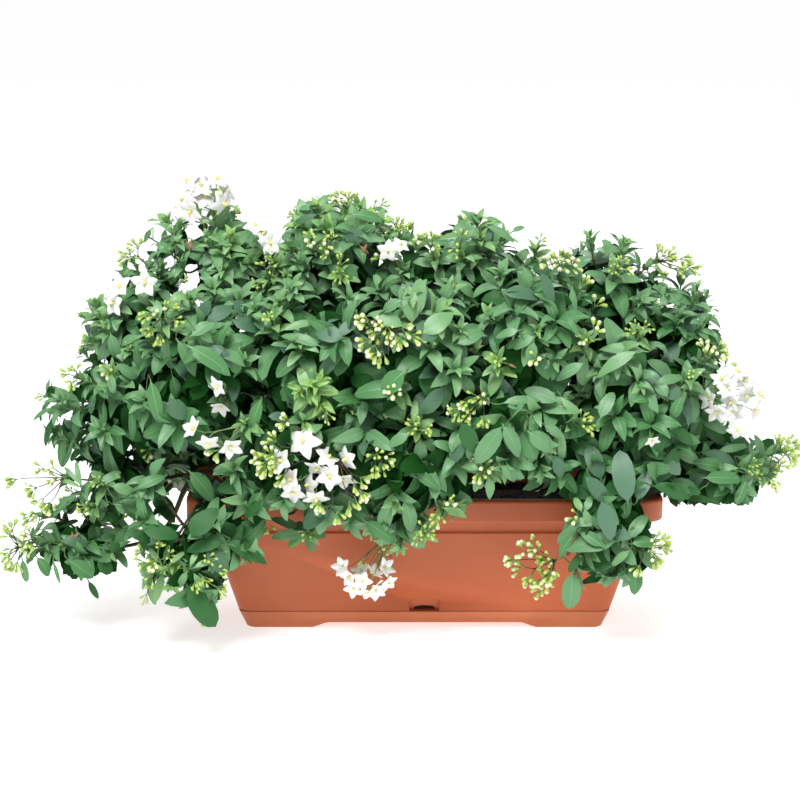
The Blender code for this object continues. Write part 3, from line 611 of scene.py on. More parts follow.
# The shoots: each mass of foliage is a stem that carries on from its bough, with leafy shoots that leave it
# on all sides, turn to the light, and end in a tuft of young leaves. A mass is given by the middle and the
# half sizes of its space, which are the source's, and by how far its shoots rise or hang.
RISING, SPREADING, HANGING = 0.75, 0.30, -0.35
MASSES = {
    "left_mid": ((-0.350, -0.050, 0.290), (0.107, 0.100, 0.100), SPREADING),
    "front_left": ((-0.235, -0.115, 0.350), (0.110, 0.090, 0.115), RISING),
    "front_left_inner": ((-0.105, -0.130, 0.368), (0.110, 0.088, 0.110), RISING),
    "front_centre": ((0.025, -0.135, 0.372), (0.110, 0.088, 0.112), RISING),
    "front_right_inner": ((0.155, -0.130, 0.380), (0.110, 0.088, 0.110), RISING),
    "right_mid": ((0.280, -0.105, 0.325), (0.112, 0.098, 0.115), RISING),
    "top_left": ((-0.095, -0.010, 0.450), (0.125, 0.115, 0.105), RISING),
    "top_right": ((0.082, -0.010, 0.445), (0.125, 0.115, 0.102), RISING),
    "back_left": ((-0.310, 0.105, 0.320), (0.125, 0.110, 0.115), SPREADING),
    "back_left_inner": ((-0.130, 0.125, 0.350), (0.110, 0.095, 0.115), RISING),
    "back_right_inner": ((0.095, 0.125, 0.350), (0.115, 0.095, 0.115), RISING),
    "back_right": ((0.300, 0.105, 0.320), (0.125, 0.110, 0.115), SPREADING),
    "left_low": ((-0.372, -0.040, 0.192), (0.115, 0.085, 0.066), SPREADING),
    "left_tip": ((-0.415, -0.060, 0.106), (0.100, 0.072, 0.058), SPREADING),
    "left_shoulder": ((-0.315, -0.015, 0.390), (0.098, 0.105, 0.098), RISING),
    "left_cascade": ((-0.250, -0.148, 0.140), (0.105, 0.056, 0.116), HANGING),
    "left_top": ((-0.228, 0.000, 0.468), (0.098, 0.105, 0.103), RISING),
    "front_low_left": ((-0.125, -0.145, 0.258), (0.120, 0.072, 0.110), HANGING),
    "front_low_centre": ((0.010, -0.145, 0.235), (0.105, 0.066, 0.145), HANGING),
    "front_low_right": ((0.145, -0.140, 0.280), (0.118, 0.076, 0.108), HANGING),
    "right_cascade": ((0.252, -0.150, 0.168), (0.108, 0.058, 0.112), HANGING),
    "right_tip": ((0.414, -0.050, 0.208), (0.118, 0.076, 0.062), SPREADING),
    "right_top": ((0.235, -0.010, 0.420), (0.115, 0.112, 0.102), RISING),
    "right_shoulder": ((0.355, -0.015, 0.345), (0.108, 0.100, 0.118), RISING),
    "back_low_left": ((-0.245, 0.150, 0.185), (0.120, 0.068, 0.090), HANGING),
    "back_low_centre": ((0.010, 0.152, 0.200), (0.130, 0.068, 0.090), HANGING),
    "back_low_right": ((0.260, 0.150, 0.190), (0.120, 0.068, 0.090), HANGING),
}
SPARSE = {"left_mid": 24, "left_low": 22, "left_tip": 15}
CROWN_MIDDLE, CROWN_HALF = Vector((0.0, 0.0, 0.26)), Vector((0.50, 0.21, 0.30))
GOLDEN_ANGLE = math.radians(137.5)
SHOOTS_OF_MASS, INNER_SHOOTS = 46, 8
TIP_SHARE, FRONT_HELD_BACK, FRONT_TIP_SHARE, INNER_SHARE = 0.80, 0.12, 0.86, 0.50
TIPS_APART, PLANTER_CLEAR, CLEARLY_DEEPER, LEAST_HEIGHT = 0.042, 0.006, 0.06, 0.012
STEM_REACH, STEM_STEPS = 1.15, 6
SHOOT_RADIUS, SHOOT_STEPS, BROWN_SHARE, BEND_REACH, TIP_WAY_SHARE = 0.0011, 10, 0.45, 0.38, 0.4


def space_share(point, name):
    """How far a point is from a mass's middle, as a share of its space's reach."""
    middle, half, _ = MASSES[name]
    return math.sqrt(sum(((p - m) / h) ** 2 for p, m, h in zip(point, middle, half)))


def space_place(name, way, share):
    """The place that lies one way from a mass's middle, at a share of its space's reach."""
    middle, half, _ = MASSES[name]
    reach = 1.0 / math.sqrt(sum((w / h) ** 2 for w, h in zip(way, half)))
    return Vector(middle) + way * reach * share


def in_neighbour(point, name):
    """Whether a point lies clearly deeper in another mass's space than in this one's."""
    own = space_share(point, name)
    return any(space_share(point, other) < own - CLEARLY_DEEPER for other in MASSES if other != name)


def crown_outward(point):
    """The way out of the whole crown at a point."""
    return Vector([(p - m) / (h * h) for p, m, h in zip(point, CROWN_MIDDLE, CROWN_HALF)]).normalized()


def in_planter(point, clear=PLANTER_CLEAR):
    return (
        abs(point[0] - PLANTER_X) < RIM_LENGTH / 2 + clear
        and abs(point[1]) < RIM_DEPTH / 2 + clear
        and point[2] < RIM_TOP + clear
    )


def eased_out(point):
    """A point moved out of the planter and off the ground by the shortest way."""
    x, y, z = point
    if in_planter(point):
        side = RIM_DEPTH / 2 + PLANTER_CLEAR
        above = RIM_TOP + PLANTER_CLEAR - z
        if above < side - abs(y):
            z += above
        else:
            y = math.copysign(side, y)
    return Vector((x, y, max(z, LEAST_HEIGHT)))


def hit_on_crown(pixel_x, pixel_y):
    """Where the sight line through a pixel meets the crown, and the mass that it meets there."""
    way = sight(pixel_x, pixel_y)
    hits, misses = [], []
    for name, (middle, half, _) in MASSES.items():
        scale = [1 / h for h in half]
        start = Vector([(s - m) * k for s, m, k in zip(LENS_PLACE, middle, scale)])
        run = Vector([w * k for w, k in zip(way, scale)])
        nearest = -start.dot(run) / run.length_squared
        miss = (start + run * nearest).length
        if miss < FRONT_TIP_SHARE:
            back = math.sqrt((FRONT_TIP_SHARE ** 2 - miss ** 2) / run.length_squared)
            hits.append((nearest - back, name))
        else:
            misses.append((miss, nearest, name))
    if hits:
        reach, name = min(hits)
    else:
        _, reach, name = min(misses)
    return LENS_PLACE + way * reach, name


def bend(start, start_way, end, end_way, count):
    """Points along a smooth curve that leaves start one way and comes to end another way."""
    reach = (end - start).length * BEND_REACH
    a, b, c, d = start, start + start_way * reach, end - end_way * reach, end
    points = []
    for i in range(count):
        t = i / (count - 1)
        points.append(a * (1 - t) ** 3 + b * 3 * t * (1 - t) ** 2 + c * 3 * t * t * (1 - t) + d * t ** 3)
    return points


def sphere_way(k, count, turn):
    """The k-th of several ways spread evenly over a sphere."""
    height = 1 - 2 * (k + 0.5) / count
    ring = math.sqrt(1 - height * height)
    angle = GOLDEN_ANGLE * k + turn
    return Vector((ring * math.cos(angle), ring * math.sin(angle), height))


def growing_way(name, place):
    """Which way a shoot's tip points: out of the crown, and up or down as its mass grows."""
    return (crown_outward(place) + Vector((0.0, 0.0, MASSES[name][2]))).normalized()


# Tips of shoots that stand out in the photograph: pixel x and y, which way the tip points in the picture in
# degrees from the right, or None for one that faces the viewer, its buds, its size, and how dark its leaves
# are, from below 0, bright and young, to 1, dark.
SHOWN_TIPS = [
    (166, 220, 100, 0, 1.0, 0.1), (214, 212, 92, 0, 1.0, 0.0), (231, 236, 75, 0, 0.9, -0.2),
    (208, 236, 120, 0, 0.9, 0.1), (224, 252, None, 0, 0.9, 0.0), (212, 290, None, 0, 1.0, 0.6),
    (240, 300, None, 0, 1.0, 0.6), (174, 244, 60, 0, 0.9, 0.4), (153, 240, 150, 0, 0.8, 0.3),
    (160, 268, None, 0, 0.8, 0.3), (180, 224, 50, 0, 0.9, 0.2), (133, 262, 120, 4, 0.75, 0.2),
    (222, 268, None, 0, 0.9, -0.1), (180, 262, 105, 0, 0.85, 0.4), (139, 257, 140, 9, 0.8, 0.2),
    (95, 303, 115, 0, 0.8, 0.1), (84, 318, 160, 0, 0.8, 0.2), (108, 328, 105, 0, 0.9, 0.1),
    (163, 316, None, 6, 1.25, -0.3), (112, 374, None, 3, 1.0, -0.4), (80, 378, 155, 9, 0.8, 0.0),
    (60, 402, 135, 0, 0.95, 0.5), (52, 432, 170, 0, 0.8, 0.5), (150, 290, 80, 0, 0.8, 0.4),
    (130, 350, None, 0, 0.9, 0.2), (145, 400, None, 0, 1.0, 0.6), (178, 420, None, 0, 1.1, 0.9),
    (100, 430, None, 0, 0.8, 0.5), (190, 300, None, 0, 0.9, 0.5), (268, 272, 90, 9, 0.7, 0.0),
    (272, 322, None, 4, 1.1, -0.35), (317, 209, 92, 0, 1.2, 0.0), (346, 209, 95, 8, 0.85, 0.2),
    (360, 211, 92, 0, 1.15, 0.0), (374, 213, 72, 6, 0.85, 0.2), (340, 224, 40, 0, 1.1, 0.3),
    (324, 228, 150, 0, 1.1, 0.4), (299, 226, 165, 0, 1.1, 0.5), (382, 224, 30, 0, 1.05, 0.3),
    (290, 250, 165, 0, 1.0, 0.5), (355, 234, None, 0, 1.0, 0.8), (330, 250, None, 7, 0.9, 0.3),
    (340, 272, None, 6, 0.75, -0.3), (315, 246, None, 9, 0.7, 0.1), (300, 262, 120, 0, 0.8, 0.5),
    (290, 290, None, 0, 0.9, 0.6), (386, 240, 110, 0, 0.9, 0.3), (400, 238, 80, 4, 0.9, 0.2),
    (404, 272, None, 0, 1.0, 0.3), (432, 248, 95, 9, 0.75, 0.0), (395, 232, 85, 10, 0.8, 0.0),
    (478, 222, 85, 0, 1.15, 0.1), (505, 236, 50, 0, 0.9, 0.3), (537, 250, 90, 3, 0.85, 0.2),
    (460, 250, 110, 6, 0.8, 0.3), (500, 275, None, 0, 1.0, 0.5), (530, 292, None, 0, 1.1, 0.9),
    (560, 268, None, 18, 0.7, 0.1), (590, 235, 95, 0, 0.85, 0.0), (625, 245, 60, 0, 1.0, 0.2),
    (616, 272, None, 16, 1.0, -0.2), (655, 262, 35, 9, 0.85, 0.2), (668, 292, 75, 0, 0.85, 0.3),
    (697, 288, 80, 0, 0.85, 0.1), (708, 320, 40, 0, 0.85, 0.0), (680, 315, None, 0, 0.9, 0.4),
    (640, 300, None, 0, 0.9, 0.4), (309, 386, None, 0, 1.0, -1.0), (300, 392, 200, 0, 0.85, -0.8),
    (319, 379, 70, 0, 0.85, -0.8), (322, 406, 300, 3, 0.9, -0.8), (245, 362, None, 0, 1.0, 0.4),
    (205, 330, 305, 0, 1.0, 0.9), (214, 352, None, 0, 1.15, 0.9), (335, 335, 200, 0, 1.0, 1.0),
    (362, 400, None, 0, 1.1, 0.9), (365, 432, 280, 0, 1.1, 1.1), (389, 325, 225, 14, 0.8, 0.1),
    (412, 300, 100, 0, 1.3, 0.1), (440, 312, 20, 0, 1.35, 0.1), (428, 345, None, 0, 1.3, 0.2),
    (395, 392, None, 5, 1.0, -0.1), (489, 313, None, 0, 0.8, -0.1), (536, 332, None, 0, 1.05, -0.2),
    (588, 340, None, 6, 0.8, -0.9), (637, 332, None, 9, 0.8, -0.4), (618, 362, 250, 0, 1.25, -0.1),
    (598, 372, 240, 0, 1.1, 0.1), (640, 385, 300, 0, 1.15, 0.1), (498, 362, None, 3, 0.85, -0.5),
    (548, 358, 170, 4, 0.7, 0.4), (688, 378, None, 4, 1.15, -0.1), (707, 356, 50, 9, 0.8, 0.0),
    (484, 398, 215, 6, 0.8, 0.3), (418, 428, None, 11, 0.95, -0.4), (575, 425, 20, 11, 0.9, -0.5),
    (532, 412, 200, 0, 1.4, 0.1), (505, 428, 250, 0, 1.35, 0.2), (560, 400, None, 0, 1.1, 0.3),
    (455, 370, None, 0, 1.0, 0.6), (545, 445, 280, 0, 1.2, 0.3), (482, 468, None, 6, 0.85, -0.5),
    (455, 455, None, 0, 1.0, 0.8), (650, 425, None, 0, 1.0, 0.9), (615, 415, None, 0, 1.0, 0.9),
    (700, 415, 280, 0, 1.1, 0.9), (245, 425, None, 0, 1.0, -0.3), (276, 458, 190, 14, 0.75, -0.2),
    (305, 425, 280, 0, 1.0, 0.0), (375, 456, 330, 14, 0.75, -0.2), (350, 410, None, 0, 1.0, 0.4),
    (450, 290, None, 0, 1.0, 0.3), (350, 300, None, 0, 0.9, 0.5), (300, 345, None, 0, 1.0, 0.5),
    (460, 330, None, 0, 1.0, 0.3), (235, 470, None, 0, 1.0, 0.6), (250, 500, 255, 0, 1.15, 0.7),
    (285, 500, 250, 0, 1.0, 0.7), (308, 533, None, 2, 0.75, -0.3), (325, 508, 260, 0, 1.1, 0.8),
    (350, 515, 275, 0, 1.1, 0.8), (375, 530, 245, 0, 1.05, 0.4), (400, 545, 270, 0, 1.0, 0.3),
    (396, 505, 280, 0, 1.0, 0.4), (423, 532, None, 9, 0.75, -0.5), (443, 508, None, 8, 0.85, -0.5),
    (462, 512, 345, 0, 0.9, 0.0), (210, 525, 100, 0, 1.2, 0.8), (245, 550, 338, 0, 1.15, 0.7),
    (215, 555, 330, 0, 1.0, 0.6), (68, 478, 172, 3, 0.9, 0.2), (104, 481, None, 4, 1.2, -0.15),
    (88, 507, None, 5, 0.7, -0.4), (38, 540, 168, 12, 0.75, 0.2), (20, 548, 190, 5, 0.75, 0.2),
    (65, 545, 190, 0, 0.75, 0.4), (84, 560, 260, 0, 0.8, 0.8), (110, 550, 230, 0, 0.85, 0.6),
    (158, 562, None, 4, 0.85, -1.0), (192, 570, 330, 4, 0.85, -0.8), (200, 590, 285, 0, 1.25, 0.9),
    (150, 585, 255, 3, 0.7, -0.5), (145, 520, None, 0, 1.0, 0.9), (150, 480, None, 0, 1.1, 0.8),
    (62, 440, 150, 0, 0.85, 0.4), (745, 468, 355, 9, 1.0, 0.0), (765, 474, 350, 6, 0.85, 0.0),
    (778, 452, 20, 8, 0.8, 0.0), (715, 470, 340, 0, 1.1, 0.7), (740, 488, 330, 0, 1.0, 0.6),
    (680, 455, 340, 0, 1.0, 1.1), (600, 462, 250, 0, 1.1, 1.1), (622, 485, 270, 0, 1.1, 1.1),
    (642, 470, 300, 0, 1.1, 1.0), (660, 490, 280, 0, 1.1, 1.0), (588, 519, 150, 3, 0.6, -0.5),
    (628, 530, None, 0, 1.0, -0.1), (600, 545, 185, 0, 1.3, 0.3), (583, 555, 230, 0, 1.2, 0.3),
    (610, 572, 190, 0, 1.1, 0.5), (556, 560, 195, 18, 0.7, 0.2), (574, 582, 268, 0, 0.95, 0.3),
    (634, 580, 268, 0, 0.95, 0.2), (645, 548, 350, 11, 0.85, -0.3), (540, 470, 290, 0, 1.0, 0.5),
    (600, 500, 265, 0, 1.1, 1.0), (505, 465, 250, 0, 1.0, 0.6), (560, 470, None, 0, 1.1, 0.8),
    (662, 464, None, 0, 1.1, 1.0), (672, 440, None, 0, 1.0, 0.9), (480, 240, None, 0, 1.0, 0.3),
    (515, 310, None, 0, 1.0, 0.9), (555, 320, None, 0, 1.0, 0.9), (462, 428, None, 0, 1.0, 0.9),
    (485, 468, None, 0, 1.0, -0.4), (275, 262, None, 3, 0.85, -0.1), (286, 276, None, 0, 0.85, 0.0),
    (262, 288, None, 3, 0.85, 0.0), (278, 302, None, 0, 0.9, 0.3), (250, 262, 20, 0, 0.95, 0.3),
    (255, 312, None, 0, 1.0, 0.6), (100, 318, 150, 0, 0.9, 0.1), (90, 340, 165, 0, 0.8, 0.2),
    (112, 300, 110, 0, 0.8, 0.3), (148, 568, 200, 0, 0.8, -0.9), (174, 560, 70, 0, 0.8, -0.9),
    (172, 584, 270, 0, 0.8, -0.7),
]
FACING_UP, FACING_OUT, TIP_TRIES = 0.70, 0.65, 6
POINTING_DOWN, NEARER_DOWN, NEARER = (200, 345), 1.0, 0.45
BUDS_BEHIND, BUDS_IN_FRONT = (0, 0, 0, 4, 8, 12), (0, 0, 3)
BEHIND, IN_FRONT, LEAST_TIP_HEIGHT = -0.2, -0.3, 0.02
SHOWN_FROM, FILLING_FROM, INNER_FROM = (0.25, 1.0), (0.35, 1.0), (0.2, 0.8)
SIZES, TONES, SPARSE_SIZE, SPARSE_TONE = (0.8, 1.1), (-0.35, 0.75), 0.85, 0.35
# Inner shoots are given a dark tone, painted shade for standing deep in the crown.
INNER_SIZE, INNER_PAINTED_SHADE, TWIG_SIDES, STEM_SIDES = 1.1, 1.2, 5, 7
# The crown's profile against the light, and the gaps in it that show the sky: pixel x, y and radius. The last
# ones are free of leaves alone, with twigs across them.
CROWN_X = (
    0, 20, 40, 60, 80, 100, 120, 140, 180, 215, 245, 275, 300, 335, 385, 425, 445, 480, 520, 560, 600, 640,
    690, 712, 722, 727, 735, 745, 765, 785, 800,
)
CROWN_TOP = (
    510, 462, 398, 352, 298, 290, 258, 204, 200, 186, 222, 250, 196, 186, 196, 228, 222, 206, 244, 242, 222,
    240, 252, 285, 322, 396, 438, 442, 436, 440, 444,
)
FOOT_X = (
    0, 40, 80, 110, 135, 150, 180, 196, 212, 222, 236, 262, 274, 292, 318, 334, 345, 362, 385, 400, 412,
    437, 452, 464, 470, 572, 578, 600, 628, 640, 650, 664, 680, 720, 750, 790, 800,
)
CROWN_FOOT = (
    566, 570, 576, 566, 584, 600, 604, 626, 622, 588, 564, 560, 540, 548, 548, 520, 528, 540, 546, 568, 552,
    542, 520, 512, 496, 496, 606, 582, 586, 590, 562, 520, 503, 500, 500, 488, 480,
)
PROFILE_SLACK, WITHIN_PROFILE, BUDS_REACH, BUDS_SLACK = 6, 12, 0.015, 4
SKY_GAPS = (
    (177, 500, 11), (176, 522, 11), (193, 507, 7), (176, 540, 6), (80, 474, 9), (76, 518, 7), (128, 520, 5),
    (190, 268, 4), (313, 272, 4), (563, 258, 4), (655, 508, 12),
)
LEAF_GAPS = (
    (192, 269, 5), (183, 285, 3), (197, 280, 2), (172, 262, 3), (141, 254, 4), (142, 268, 3), (157, 238, 4),
    (194, 234, 5), (200, 303, 3),
)


def pixels_of(points):
    """Where points show in the photograph: their pixels across and down."""
    seen = np.asarray(points, float).reshape(-1, 3) - np.array(LENS_PLACE)
    scale = FOCAL_PIXELS / (seen @ np.array(AHEAD))
    across, up = (seen @ np.array(way) * scale for way in (PICTURE_RIGHT, PICTURE_UP))
    return PICTURE / 2 + across, PICTURE / 2 - up


def in_picture(turn):
    """The way that points by an angle in the picture, in degrees from the right."""
    angle = math.radians(turn)
    return PICTURE_RIGHT * math.cos(angle) + PICTURE_UP * math.sin(angle)


def out_of_gaps(points, gaps=SKY_GAPS):
    x, y = pixels_of(points)
    return all((np.hypot(x - gap_x, y - gap_y) > radius).all() for gap_x, gap_y, radius in gaps)


def in_profile(points, slack=PROFILE_SLACK):
    """Whether points keep within the crown's profile, and out of its gaps."""
    x, y = pixels_of(points)
    above = y < np.interp(x, CROWN_X, CROWN_TOP) - slack
    below = y > np.interp(x, FOOT_X, CROWN_FOOT) + slack
    return not above.any() and not below.any() and out_of_gaps(points)


class Shoot:
    """One leafy shoot: its line from the mass's stem to its tip, and what it carries."""

    def __init__(self, mass, line, size, buds, young, tone):
        self.mass, self.line, self.size = mass, line, size
        self.buds, self.young, self.tone = buds, young, tone
        self.tip, self.way = line[-1], (line[-1] - line[-2]).normalized()


def stem_of(name):
    """The line of a mass's stem, on from its bough's tip to near the middle of its space."""
    start, way, _ = bough_ends[name]
    middle = Vector(MASSES[name][0])
    end = start + way * (middle - start).length * STEM_REACH
    return [eased_out(start + (end - start) * i / STEM_STEPS) for i in range(STEM_STEPS + 1)]


def shoot_line(stem, tip, way, share):
    """A shoot's line from a share of its mass's stem to a tip that points a given way."""
    place = share * (len(stem) - 1)
    i = min(int(place), len(stem) - 2)
    start = stem[i] + (stem[i + 1] - stem[i]) * (place - i)
    line = bend(start, ((tip - start).normalized() + way * TIP_WAY_SHARE).normalized(), tip, way, SHOOT_STEPS)
    return [line[0]] + [eased_out(point) for point in line[1:]]


def shown_shoot(tip, name, turn, buds, size, tone, stem, rng):
    """A shoot whose tip shows in the photograph."""
    if turn is None:
        way = (-AHEAD + crown_outward(tip) * FACING_OUT + Vector((0.0, 0.0, FACING_UP))).normalized()
    else:
        nearer = NEARER_DOWN if POINTING_DOWN[0] < turn < POINTING_DOWN[1] else NEARER
        way = (in_picture(turn) - AHEAD * nearer).normalized()
    for _ in range(TIP_TRIES):
        line = shoot_line(stem, eased_out(tip), way, rng.uniform(*SHOWN_FROM))
        if out_of_gaps(line):
            break
    return Shoot(name, line, size, buds, True, tone)


def filling_shoot(name, way, others, stem, rng):
    """A shoot that fills its mass's space one way, or None where there is no place for it."""
    tip = space_place(name, way, TIP_SHARE if way.y > IN_FRONT else TIP_SHARE - FRONT_HELD_BACK)
    if in_neighbour(tip, name) or in_planter(tip, 0.0) or tip.z < LEAST_TIP_HEIGHT:
        return None
    if not in_profile(tip, -WITHIN_PROFILE) or any((tip - other.tip).length < TIPS_APART for other in others):
        return None
    tip_way = (growing_way(name, tip) + way * 0.5).normalized()
    line = shoot_line(stem, eased_out(tip), tip_way, rng.uniform(*FILLING_FROM))
    if not out_of_gaps(line):
        return None
    buds = rng.choice(BUDS_BEHIND if crown_outward(tip).y > BEHIND else BUDS_IN_FRONT)
    if not in_profile([tip + tip_way * BUDS_REACH], -BUDS_SLACK):
        buds = 0
    smaller, darker = (SPARSE_SIZE, SPARSE_TONE) if name in SPARSE else (1.0, 0.0)
    size = rng.uniform(*SIZES) * smaller
    return Shoot(name, line, size, buds, True, rng.uniform(*TONES) + darker)


def grow_shoots():
    """Every shoot: first those that show in the photograph, then the rest of each mass and its inner ones."""
    rng = random.Random(11)
    stems = {name: stem_of(name) for name in MASSES}
    grown = []
    for pixel_x, pixel_y, turn, buds, size, tone in SHOWN_TIPS:
        tip, name = hit_on_crown(pixel_x, pixel_y)
        grown.append(shown_shoot(tip, name, turn, buds, size, tone, stems[name], rng))
    for name in MASSES:
        count = SPARSE.get(name, SHOOTS_OF_MASS)
        for k in range(count):
            shoot = filling_shoot(name, sphere_way(k, count, len(name)), grown, stems[name], rng)
            if shoot:
                grown.append(shoot)
        inner = INNER_SHOOTS // 4 if name in SPARSE else INNER_SHOOTS
        for k in range(inner):
            way = sphere_way(k, inner, len(name) + 1.0)
            tip = eased_out(space_place(name, way, INNER_SHARE))
            line = shoot_line(stems[name], tip, way, rng.uniform(*INNER_FROM))
            if out_of_gaps(line):
                grown.append(Shoot(name, line, INNER_SIZE, 0, False, INNER_PAINTED_SHADE))
    return grown, stems


shoots, stems = grow_shoots()

stem_brown = bark("stem_brown", (0.045, 0.034, 0.020), (0.090, 0.080, 0.040), 200.0, 0.65)
stem_green = bark("stem_green", (0.080, 0.140, 0.035), (0.120, 0.200, 0.055), 260.0, 0.55)
twigs = Gathered()
for name, stem in stems.items():
    radius = bough_ends[name][2]
    add_tube(twigs, stem, [radius * (1 - 0.06 * i) for i in range(len(stem))], STEM_SIDES, 0, 0.08, 3)
for shoot in shoots:
    count = len(shoot.line)
    brown = max(2, int(count * BROWN_SHARE))
    radii = [SHOOT_RADIUS * (2.0 - 1.1 * i / (count - 1)) for i in range(count)]
    add_tube(twigs, shoot.line[: brown + 1], radii[: brown + 1], TWIG_SIDES, 0)
    add_tube(twigs, shoot.line[brown:], radii[brown:], TWIG_SIDES, 1)
twigs.piece("twigs", "bark", [stem_brown, stem_green])


# The leaves: short-stalked lance-shaped blades in a spiral up each shoot. They are small, narrow and
# yellow-green in the tuft, and grow broader and darker down the shoot, with a paler rib. Old ones are dull
# blue-green. Angles are in degrees here, and a stray is how much leaves differ.
FULL_LEAF, TUFT_LEAF, SMALL_LEAF, FULL_GROWN = 0.051, 0.009, 0.017, 0.070
LEAVES_ON_SHOOT, LEAVES_ON_BACK, LEAVES_ON_INNER = 19, 16, 11
ROWS = np.array([0.0, 0.09, 0.22, 0.38, 0.56, 0.74, 0.89])
TAPERED = np.array([0.03, 0.08, 0.70, 1.0, 0.90, 0.60, 0.29])
ROUNDED = np.array([0.03, 0.10, 0.66, 0.94, 1.0, 0.89, 0.59])
RIB_HALF = np.array([0.00055, 0.0005, 0.00045, 0.0004, 0.0003, 0.00025, 0.0002])
SMALL_ROWS, SMALL_OUTLINE = np.array([0.0, 0.12, 0.34, 0.60, 0.84]), np.array([0.05, 0.40, 1.0, 0.88, 0.42])
BLADE_STRIPS, SMALL_STRIPS, RIB_STRIP, RIB_FINISH = 5, 2, 2, 9
LEAN, LEAN_WITH_AGE, LEAN_STRAY = 13, 66, 9
DROOP, DROOP_WITH_AGE, INNER_DROOP = 0.04, 0.50, 0.3
SLIMNESS, SLIM_WITH_AGE, SLIM_STRAY, LENGTH_STRAY = 0.27, 0.20, (-0.04, 0.05), (0.84, 1.14)
FOLDS, FOLD_WITH_AGE, ARCHES, ARCH_WITH_AGE = (10, 32), 8, (45, 110), 10
TWIST_STRAY, WAVES, SWEEP_STRAY, ROUNDNESS_STRAY = 28, (0.03, 0.10), 0.14, (-0.4, 0.3)
TUFT_TONE, AGE_TONES, SHADE_TONES, TONE_STRAY, DEEPEST_GREEN = 0.3, 3.3, 1.7, 0.7, 6
OLD_AGE, OLD_UNDER, OLD_IN_SHADE, OLD_IN_LIGHT, OLD_FINISH, DULL_FINISH = 0.62, 5.4, 0.42, 0.22, 7, 8
FACE_UP, FACE_UP_WITH_AGE, FACE_OUT_WITH_AGE = 0.30, 0.45, 0.25
LEAF_TRIES, SHORTER = 4, 0.8
ARCH_FROM, RIPPLES, RIPPLE_APART = 0.35, 9.0, 1.7


def leaf_faces(rows, columns):
    """Faces of a blade, and which are its rib: strips across, the middle one of five its rib, and a tip."""
    rib = [columns == BLADE_STRIPS and column == RIB_STRIP for column in range(columns)]
    faces = []
    for row in range(rows - 1):
        for a in range(row * (columns + 1), row * (columns + 1) + columns):
            faces.append((a, a + 1, a + columns + 2, a + columns + 1))
    last = (rows - 1) * (columns + 1)
    for a in range(last, last + columns):
        faces.append((a, a + 1, last + columns + 1))
    return faces, rib * rows


LEAF_FACES = {strips: leaf_faces(len(rows), strips) for strips, rows in (
    (BLADE_STRIPS, ROWS), (SMALL_STRIPS, SMALL_ROWS),
)}


def blade_faces(length, finish):
    """The faces and finishes of a blade of some length in one green, with its paler rib."""
    faces, ribs = LEAF_FACES[SMALL_STRIPS if length < SMALL_LEAF else BLADE_STRIPS]
    return faces, [RIB_FINISH if rib and 0 < finish < 5 else finish for rib in ribs]


def leaf_points(length, width, fold, arch, twist, wave, phase, sweep, roundness):
    """A blade along +Y, face up: folded along its rib, arched, swept to a side, and wavy at its edges."""
    if length < SMALL_LEAF:
        rows = np.append(SMALL_ROWS, 1.0)
        half = width / 2 * SMALL_OUTLINE
        across = np.stack([-half, 0 * half, half], axis=1)
    else:
        rows = np.append(ROWS, 1.0)
        half = np.maximum(width / 2 * (TAPERED + (ROUNDED - TAPERED) * roundness), RIB_HALF * 1.5)
        across = np.stack([-half, -half * 0.55, -RIB_HALF, RIB_HALF, half * 0.55, half], axis=1)
    bend_at = arch * (ARCH_FROM - rows ** 1.4)
    steps = np.diff(rows) * length
    middles = (bend_at[1:] + bend_at[:-1]) / 2
    y = np.concatenate([[0.0], np.cumsum(steps * np.cos(middles))])
    z = np.concatenate([[0.0], np.cumsum(steps * np.sin(middles))])
    share = np.abs(across) / half[:, None]
    rise = np.abs(across) * math.tan(fold) * (1.3 - 0.75 * share)
    ripple = np.sin(rows[:-1, None] * RIPPLES + phase + np.where(across > 0, RIPPLE_APART, 0.0))
    rise = rise + wave * width * share ** 2 * ripple
    turn = twist * rows[:-1, None]
    x = across * np.cos(turn) - rise * np.sin(turn) + sweep * length * rows[:-1, None] ** 2
    up = across * np.sin(turn) + rise * np.cos(turn)
    slope = bend_at[:-1, None]
    blade = np.stack([x, y[:-1, None] - up * np.sin(slope), z[:-1, None] + up * np.cos(slope)], axis=2)
    return np.concatenate([blade.reshape(-1, 3), [[sweep * length, y[-1], z[-1]]]])


def turned(points, origin, run, face):
    """Turns points that run along +Y with their face up to run one way and face another, from an origin."""
    run = run.normalized()
    face = face - run * face.dot(run)
    face = face.normalized() if face.length > 1e-5 else run.orthogonal().normalized()
    basis = np.array([run.cross(face), run, face])
    return points @ basis + np.array(origin)


def along_line(line, back):
    """The place and direction on a line, at a distance back from its end."""
    for i in range(len(line) - 1, 0, -1):
        step = line[i] - line[i - 1]
        if back <= step.length or i == 1:
            return line[i] - step.normalized() * min(back, step.length), step.normalized()
        back -= step.length


STRAY = np.array([0.020, 0.012, 0.022])
LIMIT_LOW, LIMIT_HIGH = np.array(cad_box[0]) - STRAY, np.array(cad_box[1]) + STRAY
OFF_GROUND, RIM_PRESS = 0.004, 0.004
# Painted light and shade in the leaves' greens: lighter close under the crown's profile, darker deep inside a
# mass.
SKYLINE_BAND, SKYLINE_LIGHT, INNER_SKYLINE_LIGHT = 26, -0.45, -1.15
DEEP_FROM, DEEP_PAINTED_SHADE = 0.62, 3.2


def has_room(points):
    """Whether a leaf or flower keeps off the ground and out of the planter, and within the plant's reach."""
    if points[:, 2].min() < OFF_GROUND or (points < LIMIT_LOW).any() or (points > LIMIT_HIGH).any():
        return False
    level = (np.abs(points[:, 0] - PLANTER_X) < RIM_LENGTH / 2) & (np.abs(points[:, 1]) < RIM_DEPTH / 2)
    return not (level & (points[:, 2] < RIM_TOP - RIM_PRESS)).any()


